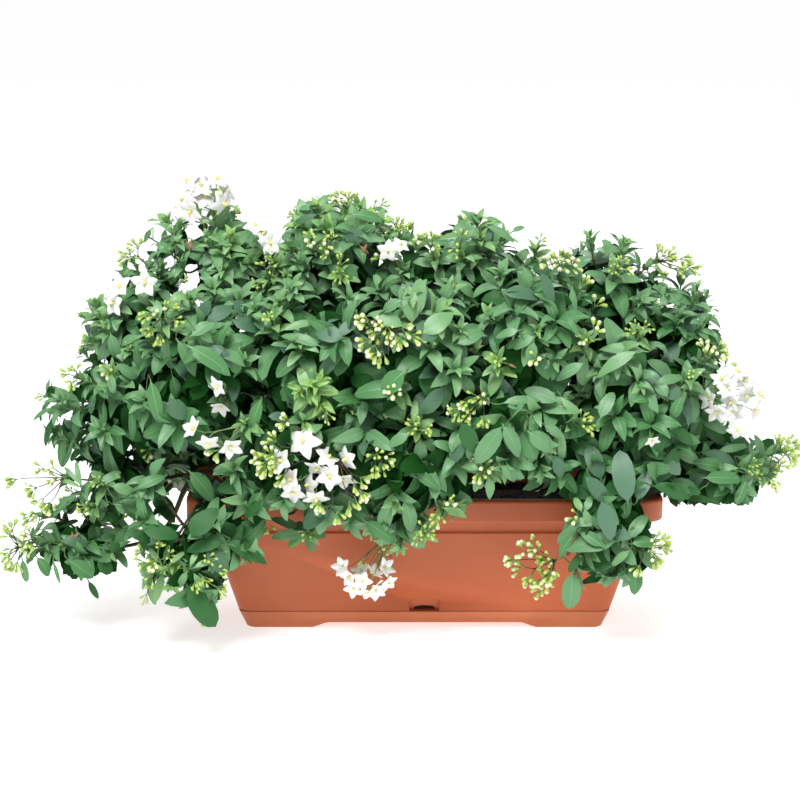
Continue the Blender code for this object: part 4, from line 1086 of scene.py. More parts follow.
def on_skyline(place):
    """Whether a place shows close under the crown's profile, where leaves get lighter greens as painted light
    coming through from behind.
    """
    x, y = pixels_of(place)
    return bool(y[0] < np.interp(x[0], CROWN_X, CROWN_TOP) + SKYLINE_BAND)


def painted_light_and_shade(foot, tip, shoot):
    """Painted shade on a leaf's green: how much darker it is for standing deep inside its mass. Those close
    under the crown's profile get painted light and are lighter.
    """
    if on_skyline(tip):
        return SKYLINE_LIGHT if shoot.young else INNER_SKYLINE_LIGHT
    return max(0.0, DEEP_FROM - space_share(foot, shoot.mass)) * DEEP_PAINTED_SHADE


def leaf_finish(age, shade, rng):
    """Which green a leaf is, after its age and its painted shade: 0 is the tuft's light one, 6 the darkest
    painted shade deep in the crown, 7 and 8 the old ones.
    """
    tone = TUFT_TONE + age ** 0.75 * AGE_TONES + shade * SHADE_TONES + rng.uniform(-TONE_STRAY, TONE_STRAY)
    often = OLD_IN_SHADE if shade > 0.7 else OLD_IN_LIGHT
    if tone < OLD_UNDER and age > OLD_AGE and rng.random() < often:
        return OLD_FINISH if rng.random() < 0.5 else DULL_FINISH
    return int(min(max(round(tone), 0), DEEPEST_GREEN))


def add_leaf(gathered, shoot, k, back, age, phase, shade, rng):
    """One leaf of a shoot, k-th from its tip. A leaf with no room is made shorter, or left out."""
    origin, run = along_line(shoot.line, back)
    side = run.orthogonal().normalized()
    around = Matrix.Rotation(GOLDEN_ANGLE * k + phase, 3, run) @ side
    lean = math.radians(LEAN + LEAN_WITH_AGE * age ** 0.5 + rng.uniform(-LEAN_STRAY, LEAN_STRAY))
    way = run * math.cos(lean) + around * math.sin(lean)
    way += Vector((0.0, 0.0, -DROOP - DROOP_WITH_AGE * age if shoot.young else -INNER_DROOP))
    face = run + Vector((0.0, 0.0, FACE_UP + FACE_UP_WITH_AGE * age)) - AHEAD * (FACE_OUT_WITH_AGE * age)
    length = (TUFT_LEAF + (FULL_LEAF - TUFT_LEAF) * min(age * 1.7, 1.0) ** 0.60) * shoot.size
    length *= rng.uniform(*LENGTH_STRAY)
    slim = SLIMNESS + SLIM_WITH_AGE * age ** 0.8 + rng.uniform(*SLIM_STRAY)
    shape = (
        math.radians(rng.uniform(*FOLDS) - FOLD_WITH_AGE * age),
        math.radians(rng.uniform(*ARCHES) + ARCH_WITH_AGE * age),
        math.radians(rng.uniform(-TWIST_STRAY, TWIST_STRAY)),
        rng.uniform(*WAVES),
        rng.uniform(0, 6),
        rng.uniform(-SWEEP_STRAY, SWEEP_STRAY),
        min(max(age + rng.uniform(*ROUNDNESS_STRAY), 0.0), 1.0),
    )
    tip = origin + way.normalized() * length
    # The leaf's green takes its painted shade, or painted light, here.
    finish = leaf_finish(age, shade + painted_light_and_shade(origin, tip, shoot), rng)
    for _ in range(LEAF_TRIES):
        points = turned(leaf_points(length, length * slim, *shape), origin, way, face)
        if has_room(points) and in_profile(points[len(points) // 2:]) and out_of_gaps(points, LEAF_GAPS):
            gathered.add(points, *blade_faces(length, finish))
            return
        length *= SHORTER


def leaf_surface(name, color, roughness, gloss=0.40):
    """A leaf's surface: one green, a waxy gloss, and the fine pucker between its veins."""
    blade = Surface(name)
    blade.set(blade.shader, {"Specular IOR Level": gloss})
    return blade.finished((*color, 1.0), roughness, blade.noise(420.0), 0.35, 0.0006)


# The shade and inner greens, with little gloss, are painted shade: the dark greens given to leaves deep in
# the crown and on inner shoots.
leaf_greens = [leaf_surface("leaf_" + name, color, roughness, gloss) for name, color, roughness, gloss in (
    ("tuft", (0.238, 0.436, 0.118), 0.46, 0.40),
    ("young", (0.178, 0.354, 0.126), 0.44, 0.42),
    ("fresh", (0.139, 0.296, 0.122), 0.42, 0.44),
    ("full", (0.108, 0.252, 0.107), 0.42, 0.44),
    ("deep", (0.068, 0.202, 0.068), 0.44, 0.36),
    ("shade", (0.030, 0.116, 0.032), 0.50, 0.22),
    ("inner", (0.008, 0.056, 0.008), 0.60, 0.08),
    ("old", (0.082, 0.176, 0.104), 0.46, 0.38),
    ("dull", (0.060, 0.142, 0.076), 0.48, 0.36),
    ("rib", (0.164, 0.330, 0.142), 0.42, 0.40),
    ("withered", (0.420, 0.215, 0.120), 0.70, 0.20),
)]

LEAF_GROUPS = {
    "left": ("left_mid", "left_low", "left_tip", "left_cascade"),
    "left_high": ("left_shoulder", "left_top", "front_left"),
    "middle": ("front_left_inner", "front_centre", "front_low_left", "front_low_centre"),
    "top": ("top_left", "top_right", "front_right_inner", "front_low_right"),
    "right": ("right_mid", "right_cascade", "right_tip"),
    "right_high": ("right_top", "right_shoulder"),
    "back_left": ("back_left", "back_left_inner", "back_low_left"),
    "back_right": ("back_right_inner", "back_right", "back_low_right", "back_low_centre"),
}
# Painted shade across the crown, by where a shoot's tip stands along it: darker greens towards the left and
# right ends, a little lighter in the middle.
SHADED_X, SHADED, DARKEST_SHADE = (-0.40, -0.20, 0.05, 0.25), (0.18, 0.0, -0.08, 0.42), 1.25
FIRST_LEAF, LEAVES_APART, WIDER_APART = 0.0008, 0.0014, 0.00019
INNER_FIRST_LEAF, INNER_LEAVES_APART, INNER_AGES = 0.002, 0.007, (0.8, 1.0)
RIPE_FROM, RIPE_OVER, RIPEST = 0.4, 1.6, 0.6


def add_leaves(leaves, shoot, phase, shade, rng):
    """A shoot's leaves from its tip down, closer and younger in the tuft. An inner one has old leaves."""
    if not shoot.young:
        for k in range(LEAVES_ON_INNER):
            back = INNER_FIRST_LEAF + INNER_LEAVES_APART * k
            add_leaf(leaves, shoot, k, back, rng.uniform(*INNER_AGES), phase, shade, rng)
        return
    ripe = min(max((shoot.tone - RIPE_FROM) / RIPE_OVER, 0.0), RIPEST)
    on_shoot = LEAVES_ON_BACK if shoot.mass.startswith("back") else LEAVES_ON_SHOOT
    for k in range(round(on_shoot * (1 - 0.5 * ripe))):
        back = (FIRST_LEAF + LEAVES_APART * k + WIDER_APART * k * k) * shoot.size * (1 + ripe * 0.7)
        age = ripe + (1 - ripe) * min(back / FULL_GROWN, 1.0)
        add_leaf(leaves, shoot, k, back, age, phase, min(shade, DARKEST_SHADE), rng)


leaf_rng = random.Random(23)
all_leaves = []
for group, names in LEAF_GROUPS.items():
    leaves = Gathered()
    for shoot in shoots:
        if shoot.mass in names:
            phase = leaf_rng.uniform(0, 6.28)
            stray = leaf_rng.uniform(-0.1, 0.1)
            shade = shoot.tone + stray + float(np.interp(shoot.tip.x, SHADED_X, SHADED))
            add_leaves(leaves, shoot, phase, shade, leaf_rng)
    all_leaves.append(leaves)
    leaves.piece("leaves_" + group, "foliage", leaf_greens, *["foliage_" + name for name in names])


# Single leaves that stand out in the photograph: the pixels of the foot and of the tip, the width in pixels,
# and which green, or 10 for a small withered one; the greens 5 and 6 are painted shade. Each lies just before
# the foliage there, on a short stalk from the nearest shoot.
SHOWN_LEAVES = [
    (412, 322, 424, 280, 17, 2), (405, 328, 371, 311, 16, 2), (400, 325, 386, 313, 9, 1),
    (421, 335, 453, 315, 21, 2), (418, 345, 440, 370, 16, 2), (400, 336, 366, 361, 18, 8),
    (400, 286, 374, 299, 11, 3), (403, 300, 382, 311, 13, 3), (345, 338, 315, 334, 19, 7),
    (335, 338, 361, 318, 13, 7), (344, 348, 320, 376, 15, 8), (307, 393, 300, 367, 11, 1),
    (322, 347, 282, 334, 12, 3), (280, 331, 320, 321, 9, 2), (343, 450, 372, 410, 27, 8),
    (402, 390, 355, 392, 22, 4), (406, 370, 382, 393, 22, 4), (408, 416, 446, 388, 22, 8),
    (405, 422, 372, 403, 13, 3), (414, 424, 416, 400, 8, 1), (417, 433, 448, 434, 9, 2),
    (411, 433, 387, 449, 12, 3), (628, 506, 622, 451, 23, 7), (636, 503, 650, 468, 16, 7),
    (602, 482, 588, 446, 18, 8), (588, 474, 606, 505, 15, 8), (600, 498, 611, 540, 21, 7),
    (620, 541, 566, 545, 23, 3), (622, 560, 578, 567, 21, 5), (622, 574, 580, 580, 11, 5),
    (572, 570, 570, 609, 20, 3), (627, 538, 613, 509, 11, 2), (628, 540, 645, 514, 14, 3),
    (630, 544, 656, 541, 14, 4), (636, 549, 657, 568, 14, 3), (630, 550, 612, 567, 9, 2),
    (655, 452, 681, 473, 17, 7), (700, 489, 669, 499, 13, 5), (681, 478, 652, 491, 18, 8),
    (672, 452, 701, 463, 14, 3), (189, 539, 215, 507, 23, 5), (232, 538, 232, 502, 18, 5),
    (238, 538, 261, 515, 15, 5), (222, 540, 267, 563, 17, 5), (228, 541, 186, 553, 14, 5),
    (205, 548, 227, 573, 19, 8), (186, 584, 214, 627, 25, 5), (304, 536, 272, 535, 13, 2),
    (304, 538, 314, 552, 8, 3), (306, 532, 271, 518, 10, 3), (330, 505, 304, 528, 23, 8),
    (262, 500, 246, 518, 12, 5), (262, 489, 218, 486, 18, 5), (185, 479, 215, 501, 16, 5),
    (392, 500, 381, 536, 16, 3), (404, 496, 414, 531, 15, 3), (436, 503, 430, 469, 12, 3),
    (443, 508, 467, 517, 9, 1), (362, 519, 396, 545, 14, 4), (648, 352, 600, 350, 14, 2),
    (640, 350, 596, 375, 14, 2), (560, 402, 524, 392, 17, 3), (504, 424, 477, 463, 19, 3),
    (502, 424, 521, 456, 16, 3), (512, 410, 553, 424, 16, 3), (527, 431, 553, 452, 19, 3),
    (600, 420, 612, 392, 14, 3), (500, 404, 540, 398, 10, 3), (545, 425, 562, 438, 12, 3),
    (560, 428, 562, 463, 9, 2), (575, 440, 586, 470, 14, 4), (420, 438, 422, 466, 14, 3),
    (410, 470, 440, 490, 12, 4), (440, 470, 445, 500, 10, 3), (443, 412, 420, 425, 14, 4),
    (445, 385, 425, 415, 16, 8), (555, 455, 560, 478, 14, 8), (470, 440, 470, 460, 11, 3),
    (488, 475, 492, 499, 10, 2), (480, 470, 459, 465, 10, 2), (500, 465, 516, 480, 12, 3),
    (452, 398, 470, 424, 18, 5), (460, 420, 476, 454, 18, 5), (466, 440, 450, 462, 16, 8),
    (478, 396, 458, 414, 14, 5), (205, 345, 232, 366, 18, 7), (190, 337, 214, 322, 15, 3),
    (225, 350, 196, 362, 15, 7), (250, 395, 276, 415, 15, 4), (102, 494, 137, 496, 9, 3),
    (102, 506, 128, 535, 13, 4), (112, 504, 151, 512, 12, 3), (99, 486, 119, 470, 10, 3),
    (80, 492, 52, 515, 9, 3), (78, 496, 70, 515, 10, 3), (82, 488, 75, 461, 6, 2), (82, 488, 60, 478, 5, 1),
    (82, 486, 64, 467, 5, 2), (68, 560, 92, 579, 16, 4), (88, 580, 98, 599, 7, 5),
    (96, 560, 112, 572, 14, 5), (22, 558, 27, 582, 8, 3), (36, 556, 50, 575, 11, 4),
    (53, 560, 59, 584, 4, 4), (100, 545, 126, 550, 11, 5), (112, 543, 136, 530, 13, 5),
    (125, 530, 151, 540, 13, 5), (60, 540, 87, 546, 11, 8), (88, 541, 101, 519, 11, 5),
    (100, 521, 123, 515, 11, 5), (52, 418, 44, 446, 7, 5), (60, 424, 52, 448, 7, 5),
    (66, 430, 58, 466, 8, 4), (73, 440, 62, 467, 8, 4), (81, 430, 66, 451, 8, 4), (86, 445, 70, 461, 8, 5),
    (52, 407, 33, 420, 5, 4), (60, 403, 77, 402, 5, 3), (56, 400, 43, 402, 4, 3),
    (100, 388, 125, 401, 9, 3), (104, 400, 104, 426, 9, 4), (116, 363, 135, 379, 11, 3),
    (96, 392, 89, 413, 8, 4), (125, 400, 144, 422, 11, 4), (131, 405, 133, 441, 8, 4),
    (150, 492, 176, 521, 20, 5), (118, 500, 150, 514, 14, 3), (135, 490, 164, 475, 12, 4),
    (160, 470, 193, 477, 12, 4), (188, 470, 215, 499, 18, 4), (222, 480, 248, 497, 14, 4),
    (262, 490, 250, 514, 15, 4), (110, 486, 136, 494, 12, 2), (76, 492, 66, 515, 12, 4),
    (140, 530, 178, 536, 18, 5), (150, 578, 155, 605, 9, 2), (306, 536, 288, 545, 12, 1),
    (308, 535, 326, 536, 9, 1), (308, 532, 296, 522, 9, 2), (318, 208, 332, 195, 7, 2),
    (316, 208, 297, 209, 7, 3), (318, 214, 293, 226, 8, 8), (322, 216, 343, 218, 9, 3),
    (350, 214, 383, 221, 12, 4), (352, 226, 356, 246, 20, 7), (300, 246, 283, 244, 7, 5),
    (358, 212, 357, 196, 7, 1), (372, 208, 388, 213, 6, 3), (700, 452, 736, 463, 13, 8),
    (690, 463, 729, 470, 15, 4), (702, 478, 741, 480, 16, 4), (665, 482, 701, 491, 16, 4),
    (716, 452, 751, 447, 9, 3), (736, 456, 766, 470, 14, 4), (706, 464, 690, 489, 14, 8),
    (746, 480, 738, 505, 10, 4), (674, 497, 721, 501, 8, 5), (650, 485, 690, 496, 14, 5),
    (702, 424, 724, 446, 13, 5), (668, 430, 694, 442, 15, 5), (640, 448, 668, 458, 16, 5),
    (648, 440, 640, 468, 14, 8), (662, 430, 656, 455, 12, 5), (706, 375, 712, 400, 11, 3),
    (500, 292, 540, 297, 15, 8), (540, 270, 552, 305, 13, 8), (478, 268, 500, 290, 10, 3),
    (455, 280, 474, 298, 13, 3), (452, 282, 442, 300, 13, 3), (572, 285, 574, 322, 9, 3),
    (512, 232, 524, 226, 6, 3), (484, 225, 515, 240, 9, 3), (480, 224, 470, 212, 6, 3),
    (484, 218, 500, 222, 6, 2), (476, 228, 455, 246, 11, 3), (300, 440, 322, 424, 8, 2),
    (160, 318, 156, 300, 9, 2), (165, 318, 172, 301, 8, 1), (230, 320, 262, 331, 17, 8),
    (205, 322, 232, 308, 16, 8), (232, 300, 248, 316, 15, 8), (212, 300, 200, 318, 13, 8),
    (175, 262, 172, 285, 9, 4), (152, 228, 145, 243, 6, 4), (166, 335, 171, 369, 17, 3),
    (176, 338, 197, 375, 16, 3), (186, 345, 231, 373, 19, 4), (172, 374, 177, 398, 12, 4),
    (150, 378, 160, 422, 14, 4), (164, 402, 188, 417, 20, 8), (110, 332, 117, 359, 12, 3),
    (104, 398, 126, 402, 11, 3), (112, 372, 112, 393, 9, 2), (118, 376, 133, 381, 9, 3),
    (140, 335, 120, 345, 10, 3), (135, 345, 140, 372, 9, 4), (195, 330, 213, 343, 10, 3),
    (150, 312, 135, 319, 8, 2), (240, 345, 233, 373, 16, 4), (262, 398, 250, 430, 13, 4),
    (412, 326, 411, 286, 18, 2), (388, 286, 408, 299, 13, 3), (455, 345, 484, 334, 14, 3),
    (416, 340, 440, 374, 20, 3), (433, 345, 424, 320, 22, 8), (450, 318, 470, 306, 13, 3),
    (520, 330, 496, 338, 10, 3), (524, 340, 505, 348, 10, 3), (536, 336, 513, 348, 12, 3),
    (534, 340, 528, 365, 12, 3), (540, 338, 562, 343, 10, 3), (585, 352, 580, 385, 13, 2),
    (585, 362, 556, 380, 12, 3), (578, 366, 590, 398, 14, 4), (640, 345, 668, 350, 11, 3),
    (632, 402, 648, 398, 10, 4), (655, 385, 682, 376, 12, 3), (668, 398, 655, 380, 13, 3),
    (690, 395, 697, 421, 12, 3), (682, 396, 672, 418, 12, 4), (632, 560, 637, 594, 16, 4),
    (640, 553, 657, 568, 14, 5), (590, 520, 562, 527, 10, 3), (584, 508, 590, 527, 8, 2),
    (162, 565, 148, 548, 6, 1), (164, 564, 170, 545, 6, 1), (164, 568, 144, 574, 7, 1),
    (164, 570, 156, 603, 9, 1), (168, 566, 186, 552, 6, 1), (188, 570, 178, 588, 8, 2),
    (193, 568, 214, 560, 7, 1), (193, 572, 206, 592, 8, 2), (190, 567, 198, 550, 6, 1),
    (150, 572, 142, 590, 6, 2), (120, 505, 146, 522, 12, 4), (40, 530, 64, 524, 7, 4),
    (25, 545, 8, 535, 4, 3), (34, 536, 44, 520, 5, 3), (60, 528, 78, 520, 6, 5), (95, 540, 118, 536, 9, 5),
    (68, 536, 79, 538, 3, 10), (72, 532, 74, 545, 3, 10), (79, 533, 69, 542, 3, 10),
    (186, 241, 195, 250, 3, 10), (192, 240, 189, 252, 3, 10), (360, 246, 369, 254, 3, 10),
    (367, 244, 363, 255, 3, 10), (508, 364, 517, 369, 3, 10), (562, 549, 570, 556, 3, 10),
    (568, 548, 564, 558, 3, 10), (584, 527, 557, 541, 14, 3), (574, 534, 559, 556, 11, 4),
    (600, 524, 566, 523, 10, 3), (582, 512, 574, 498, 8, 1), (586, 512, 591, 496, 8, 2),
    (582, 551, 570, 573, 9, 5), (604, 548, 580, 530, 12, 4), (590, 515, 600, 530, 9, 3),
    (394, 388, 354, 368, 26, 5), (366, 360, 359, 390, 22, 6), (378, 384, 350, 382, 18, 6),
    (658, 306, 682, 291, 14, 3), (668, 291, 692, 303, 13, 3), (674, 308, 690, 293, 12, 4),
    (650, 293, 666, 284, 10, 2), (528, 266, 553, 277, 15, 4), (550, 280, 534, 262, 12, 5),
]
SINGLE_CLEAR, SINGLE_NEARER, SINGLE_STEP, SINGLE_TRIES = 0.004, 0.020, 0.006, 9
SINGLE_FOLD, SINGLE_ARCH, SINGLE_TWIST, SINGLE_WAVE = math.radians(9), math.radians(46), 12, 0.05
SINGLE_TILT, ARCHED_LENGTH, SINGLE_STALK, STALK_POINTS = (-0.003, 0.006), 1.06, 0.0007, 5
LOOKED_AT, SINGLE_FACE_STRAY, SINGLE_FACE_UP = (0.15, 0.5, 0.85), 0.3, 0.55
SINGLE_SWEEP, SINGLE_ROUNDNESS = 0.08, (0.3, 1.0)


def foliage_ahead(way):
    """How far along a sight line the leaves begin, or None where it meets none."""
    reaches = [tree.ray_cast(LENS_PLACE, way)[3] for tree in leaf_trees]
    return min((reach for reach in reaches if reach is not None), default=None)


def leaf_depth(foot_x, foot_y, tip_x, tip_y):
    """How far off a shown leaf lies: just before the foliage that the sight lines along it meet."""
    met = []
    for share in LOOKED_AT:
        way = sight(foot_x + (tip_x - foot_x) * share, foot_y + (tip_y - foot_y) * share)
        reach = foliage_ahead(way)
        if reach is not None:
            met.append(reach * way.dot(AHEAD))
    met.sort()
    if met:
        return max(met[0], met[len(met) // 2] - SINGLE_NEARER) - SINGLE_CLEAR
    at, _ = hit_on_crown(foot_x, foot_y)
    return (at - LENS_PLACE).dot(AHEAD) - SINGLE_CLEAR


leaf_trees = []
for leaves in all_leaves:
    leaf_trees.append(BVHTree.FromPolygons(np.concatenate(leaves.points).tolist(), leaves.faces))
stalk_places = [place for shoot in shoots if shoot.young for place in shoot.line[4:]]
single_leaves, single_stalks, single_rng = Gathered(), Gathered(), random.Random(71)
for foot_x, foot_y, tip_x, tip_y, across, finish in SHOWN_LEAVES:
    depth = leaf_depth(foot_x, foot_y, tip_x, tip_y)
    foot_way, tip_way = sight(foot_x, foot_y), sight(tip_x, tip_y)
    twist = math.radians(single_rng.uniform(-SINGLE_TWIST, SINGLE_TWIST))
    shape = [SINGLE_FOLD, SINGLE_ARCH, twist, SINGLE_WAVE, single_rng.uniform(0, 6)]
    shape.append(single_rng.uniform(-SINGLE_SWEEP, SINGLE_SWEEP))
    shape.append(single_rng.uniform(*SINGLE_ROUNDNESS))
    face = -AHEAD + Vector((single_rng.uniform(-SINGLE_FACE_STRAY, SINGLE_FACE_STRAY), 0.0, SINGLE_FACE_UP))
    for nearer in range(SINGLE_TRIES):
        before = depth - SINGLE_STEP * nearer
        foot = LENS_PLACE + foot_way * ((before + SINGLE_TILT[0]) / foot_way.dot(AHEAD))
        tip = LENS_PLACE + tip_way * ((before + SINGLE_TILT[1]) / tip_way.dot(AHEAD))
        length, width = (tip - foot).length * ARCHED_LENGTH, across / FOCAL_PIXELS * before
        points = turned(leaf_points(length, width, *shape), foot, tip - foot, face)
        if has_room(points):
            break
    else:
        continue
    single_leaves.add(points, *blade_faces(length, finish))
    near = min(stalk_places, key=lambda place: (place - foot).length)
    stalk = bend(near, (foot - near).normalized(), foot, (tip - foot).normalized(), STALK_POINTS)
    add_tube(single_stalks, stalk, [SINGLE_STALK] * STALK_POINTS, 4, 1)
single_leaves.piece("leaves_single", "foliage", leaf_greens)
single_stalks.piece("leaf_stalks", "bark", [stem_brown, stem_green])


# The buds: club-shaped, cream-white over a yellow-green foot, on slender stalks that fan out from a shoot's
# tip. Small ones are still lime-green.
BUD_ROWS = [(0.0, 0.13), (0.22, 0.25), (0.46, 0.36), (0.70, 0.50), (0.90, 0.36)]
BUD_SIDES, BUD_WIDTH_SHARE = 5, 0.56
BUD_LENGTH, LIME_UNDER = (0.0056, 0.0112), 0.0096
BUD_DROOP, BUD_NOD, BUDS_ON_RAY, BUDS_FOR_SIZE = 0.12, 0.25, 5, 1.4
RAY_OPENING, RAY_REACH = (20, 50), (0.007, 0.015)
BUD_OPENING, BUD_REACH = (14, 52), (0.004, 0.010)
STALK_RADIUS, STALK_SIDES = 0.0006, 4
STALK_TAPER, RAY_TAPER = (1, 0.85, 0.8, 1), (1.3, 1.2, 1.1, 1)


def surface_points(rows, sides, length, width):
    """Rings of a small turned form along +Y, and its end point."""
    points = []
    for share, radius in rows:
        for k in range(sides):
            angle = 2 * math.pi * k / sides
            reach = radius * width
            points.append((reach * math.cos(angle), share * length, reach * math.sin(angle)))
    return np.array(points + [(0.0, length, 0.0)])


def surface_faces(rings, sides):
    faces = []
    for ring in range(rings - 1):
        for k in range(sides):
            a, b = ring * sides + k, ring * sides + (k + 1) % sides
            faces.append((a, b, b + sides, a + sides))
    last = (rings - 1) * sides
    faces += [(last + k, last + (k + 1) % sides, rings * sides) for k in range(sides)]
    faces.append(tuple(range(sides - 1, -1, -1)))
    return faces


BUD_FACES = surface_faces(len(BUD_ROWS), BUD_SIDES)
BUD_FINISHES = [0] * BUD_SIDES + [1] * (2 * BUD_SIDES) + [2] * (2 * BUD_SIDES) + [0]


def add_stalk(stalks, line, taper, finish):
    """A thin green or purplish stalk along a line."""
    add_tube(stalks, line, [STALK_RADIUS * share for share in taper], STALK_SIDES, finish)


def add_bud(buds, stalks, start, way, reach, length, rng):
    """A bud on its stalk, which droops a little under it. Small buds are still lime, large ones cream."""
    end = start + way * reach + Vector((0.0, 0.0, -BUD_DROOP * reach))
    bud_way = (way + Vector((0.0, 0.0, -BUD_NOD))).normalized()
    width = length * BUD_WIDTH_SHARE * rng.uniform(0.9, 1.1)
    points = turned(surface_points(BUD_ROWS, BUD_SIDES, length, width), end, bud_way, Vector((0.3, 0.2, 1.0)))
    if not has_room(points):
        return
    lime = length < LIME_UNDER
    buds.add(points, BUD_FACES, [1 if finish == 2 and lime else finish for finish in BUD_FINISHES])
    add_stalk(stalks, bend(start, way, end, bud_way, 4), STALK_TAPER, 0)


def add_bud_spray(buds, stalks, origin, way, count, rng, length=None, stalk_finish=1):
    """A loose head of buds: a few rays part from the shoot's tip, and stalks fan out from each one's end."""
    rays = max(1, round(count / BUDS_ON_RAY))
    left = count
    length = length or rng.uniform(*BUD_LENGTH)
    side = way.orthogonal().normalized()
    for ray in range(rays):
        spread = math.radians(rng.uniform(*RAY_OPENING)) if rays > 1 else 0.1
        around = Matrix.Rotation(2 * math.pi * (ray + rng.uniform(-0.2, 0.2)) / rays, 3, way) @ side
        ray_way = (way * math.cos(spread) + around * math.sin(spread)).normalized()
        end = origin + ray_way * rng.uniform(*RAY_REACH)
        add_stalk(stalks, bend(origin, way, end, ray_way, 4), RAY_TAPER, stalk_finish)
        share = min(left, math.ceil(count / rays))
        left -= share
        ray_side = ray_way.orthogonal().normalized()
        for n in range(share):
            opening = math.radians(rng.uniform(*BUD_OPENING))
            turn = Matrix.Rotation(GOLDEN_ANGLE * n + ray, 3, ray_way) @ ray_side
            bud_way = (ray_way * math.cos(opening) + turn * math.sin(opening)).normalized()
            reach = rng.uniform(*BUD_REACH)
            add_bud(buds, stalks, end, bud_way, reach, length * rng.uniform(0.8, 1.1), rng)


bud_green = leaf_surface("bud_calyx_green", (0.210, 0.350, 0.060), 0.45)
bud_lime = leaf_surface("bud_lime", (0.410, 0.560, 0.130), 0.42)
bud_cream = leaf_surface("bud_cream", (0.700, 0.750, 0.470), 0.42)
stalk_green = leaf_surface("stalk_green", (0.190, 0.320, 0.100), 0.50)
stalk_purple = leaf_surface("stalk_purple", (0.070, 0.060, 0.040), 0.50)
buds, stalks, bud_rng = Gathered(), Gathered(), random.Random(31)
for shoot in shoots:
    if shoot.buds:
        add_bud_spray(buds, stalks, shoot.tip, shoot.way, round(shoot.buds * BUDS_FOR_SIZE), bud_rng)


# The flowers: white five-pointed stars, about 38 mm across, each with a cone of yellow anthers, in loose
# heads. A head is given as the pixel that its stalks come from, its flowers' size, their pixels with the way
# that each nods in the picture, or None for one that faces the viewer, and its sprays of buds.
FLOWER_HEADS = [
    ((212, 206), 1.0, (
        (189, 181, 150), (201, 185, None), (217, 180, 80), (226, 191, 20), (183, 199, 180), (206, 197, None),
        (223, 203, 330), (191, 211, 220), (208, 176, 100),
    ), ((205, 190, 4), (214, 196, 3))),
    ((250, 246), 0.85, ((255, 226, 80), (270, 243, None), (262, 234, 30)), ()),
    ((130, 294), 0.95, ((120, 287, 150), (145, 283, None), (114, 303, 200)), ()),
    ((394, 262), 0.75, ((388, 251, None), (400, 245, 60)), ((378, 252, 4),)),
    ((240, 398), 0.75, ((218, 386, 215), (221, 405, 255)), ()),
    ((232, 425), 0.85, ((194, 429, 150), (208, 443, 265), (230, 446, 310)), ((216, 452, 4),)),
    ((325, 440), 1.12, ((303, 441, None),), ()),
    ((325, 440), 0.92, (
        (318, 467, 240), (328, 457, 60), (346, 459, 210), (343, 478, 280), (292, 480, 150), (293, 492, 250),
        (309, 485, 190), (316, 498, 270), (282, 461, 170), (330, 476, None),
    ), (
        (352, 505, 14), (318, 508, 7), (334, 520, 8), (268, 447, 9), (258, 462, 9), (284, 418, 6),
        (360, 484, 8), (278, 472, 8), (272, 458, 6), (364, 496, 6),
    )),
    ((372, 556), 0.70, (
        (343, 567, 150), (350, 576, 200), (354, 588, 230), (362, 581, None), (368, 591, 250), (373, 574, 60),
        (384, 568, 30), (380, 584, 300), (388, 582, 320), (361, 571, 120), (376, 590, 280),
    ), ((391, 566, 3), (360, 562, 2))),
    ((712, 392), 0.80, (
        (737, 372, 60), (745, 380, None), (760, 395, 10), (710, 399, 180), (717, 411, 230), (734, 412, None),
        (753, 410, 330), (738, 430, 280), (728, 388, None), (722, 380, 120), (746, 395, 300), (732, 402, 200),
    ), ((728, 362, 4), (706, 352, 6))),
    ((648, 430), 0.55, ((652, 440, 300),), ()),
    ((566, 558), 0.82, (), (
        (520, 547, 8), (513, 559, 7), (522, 574, 8), (538, 590, 9), (548, 583, 6), (536, 548, 7),
        (552, 572, 5),
    )),
    ((158, 564), 0.50, (), ((140, 548, 6), (158, 542, 6), (142, 562, 5), (150, 584, 4), (172, 552, 5))),
    ((192, 568), 0.55, (), ((210, 556, 6), (222, 572, 6), (219, 590, 6), (198, 588, 5), (204, 576, 4))),
    ((66, 478), 0.80, (), (
        (14, 478, 6), (28, 490, 7), (38, 466, 5), (38, 502, 6), (46, 510, 7), (50, 466, 3),
    )),
    ((28, 542), 0.74, (), (
        (8, 524, 6), (10, 538, 6), (12, 553, 7), (18, 564, 6), (28, 518, 4), (8, 562, 4),
    )),
    ((163, 322), 0.62, (), ((148, 330, 7), (170, 306, 6), (178, 322, 6), (160, 342, 7), (146, 316, 5))),
    ((398, 338), 0.92, (), (
        (362, 318, 7), (368, 346, 8), (378, 358, 9), (388, 362, 6), (404, 336, 8), (416, 340, 6),
    )),
    ((492, 392), 0.70, (), ((462, 402, 6), (470, 416, 6), (484, 422, 5), (456, 410, 5), (478, 396, 4))),
    ((640, 548), 0.74, (), ((662, 536, 9), (668, 548, 5), (656, 558, 7), (640, 566, 7))),
    ((765, 468), 0.75, (), ((778, 442, 6), (790, 450, 6), (786, 464, 5), (774, 480, 4))),
    ((655, 262), 0.75, (), ((672, 256, 6), (688, 258, 5), (694, 270, 4), (680, 272, 5))),
]
PETALS, PETAL_LENGTH, PETAL_WIDTH, PETAL_KEEL = 5, 0.0190, 0.0136, 0.10
PETAL_ROWS = np.array([0.10, 0.25, 0.45, 0.68, 0.88])
PETAL_OUTLINE = np.array([0.46, 0.90, 1.0, 0.74, 0.36])
ANTHER_ROWS = ((0.0, 0.36), (0.25, 0.50), (0.75, 0.42), (1.0, 0.22))
CALYX_ROWS = ((0.0, 0.2), (0.5, 0.6), (1.0, 1.0))
ANTHER_LENGTH, ANTHER_WIDTH, CALYX_LENGTH, CALYX_WIDTH = 0.0068, 0.0050, 0.0035, 0.0026
FORM_SIDES, CALYX_BACK, STALK_SHARE, GREEN_STALKED_UNDER = 6, 0.0036, 1.2, 0.6
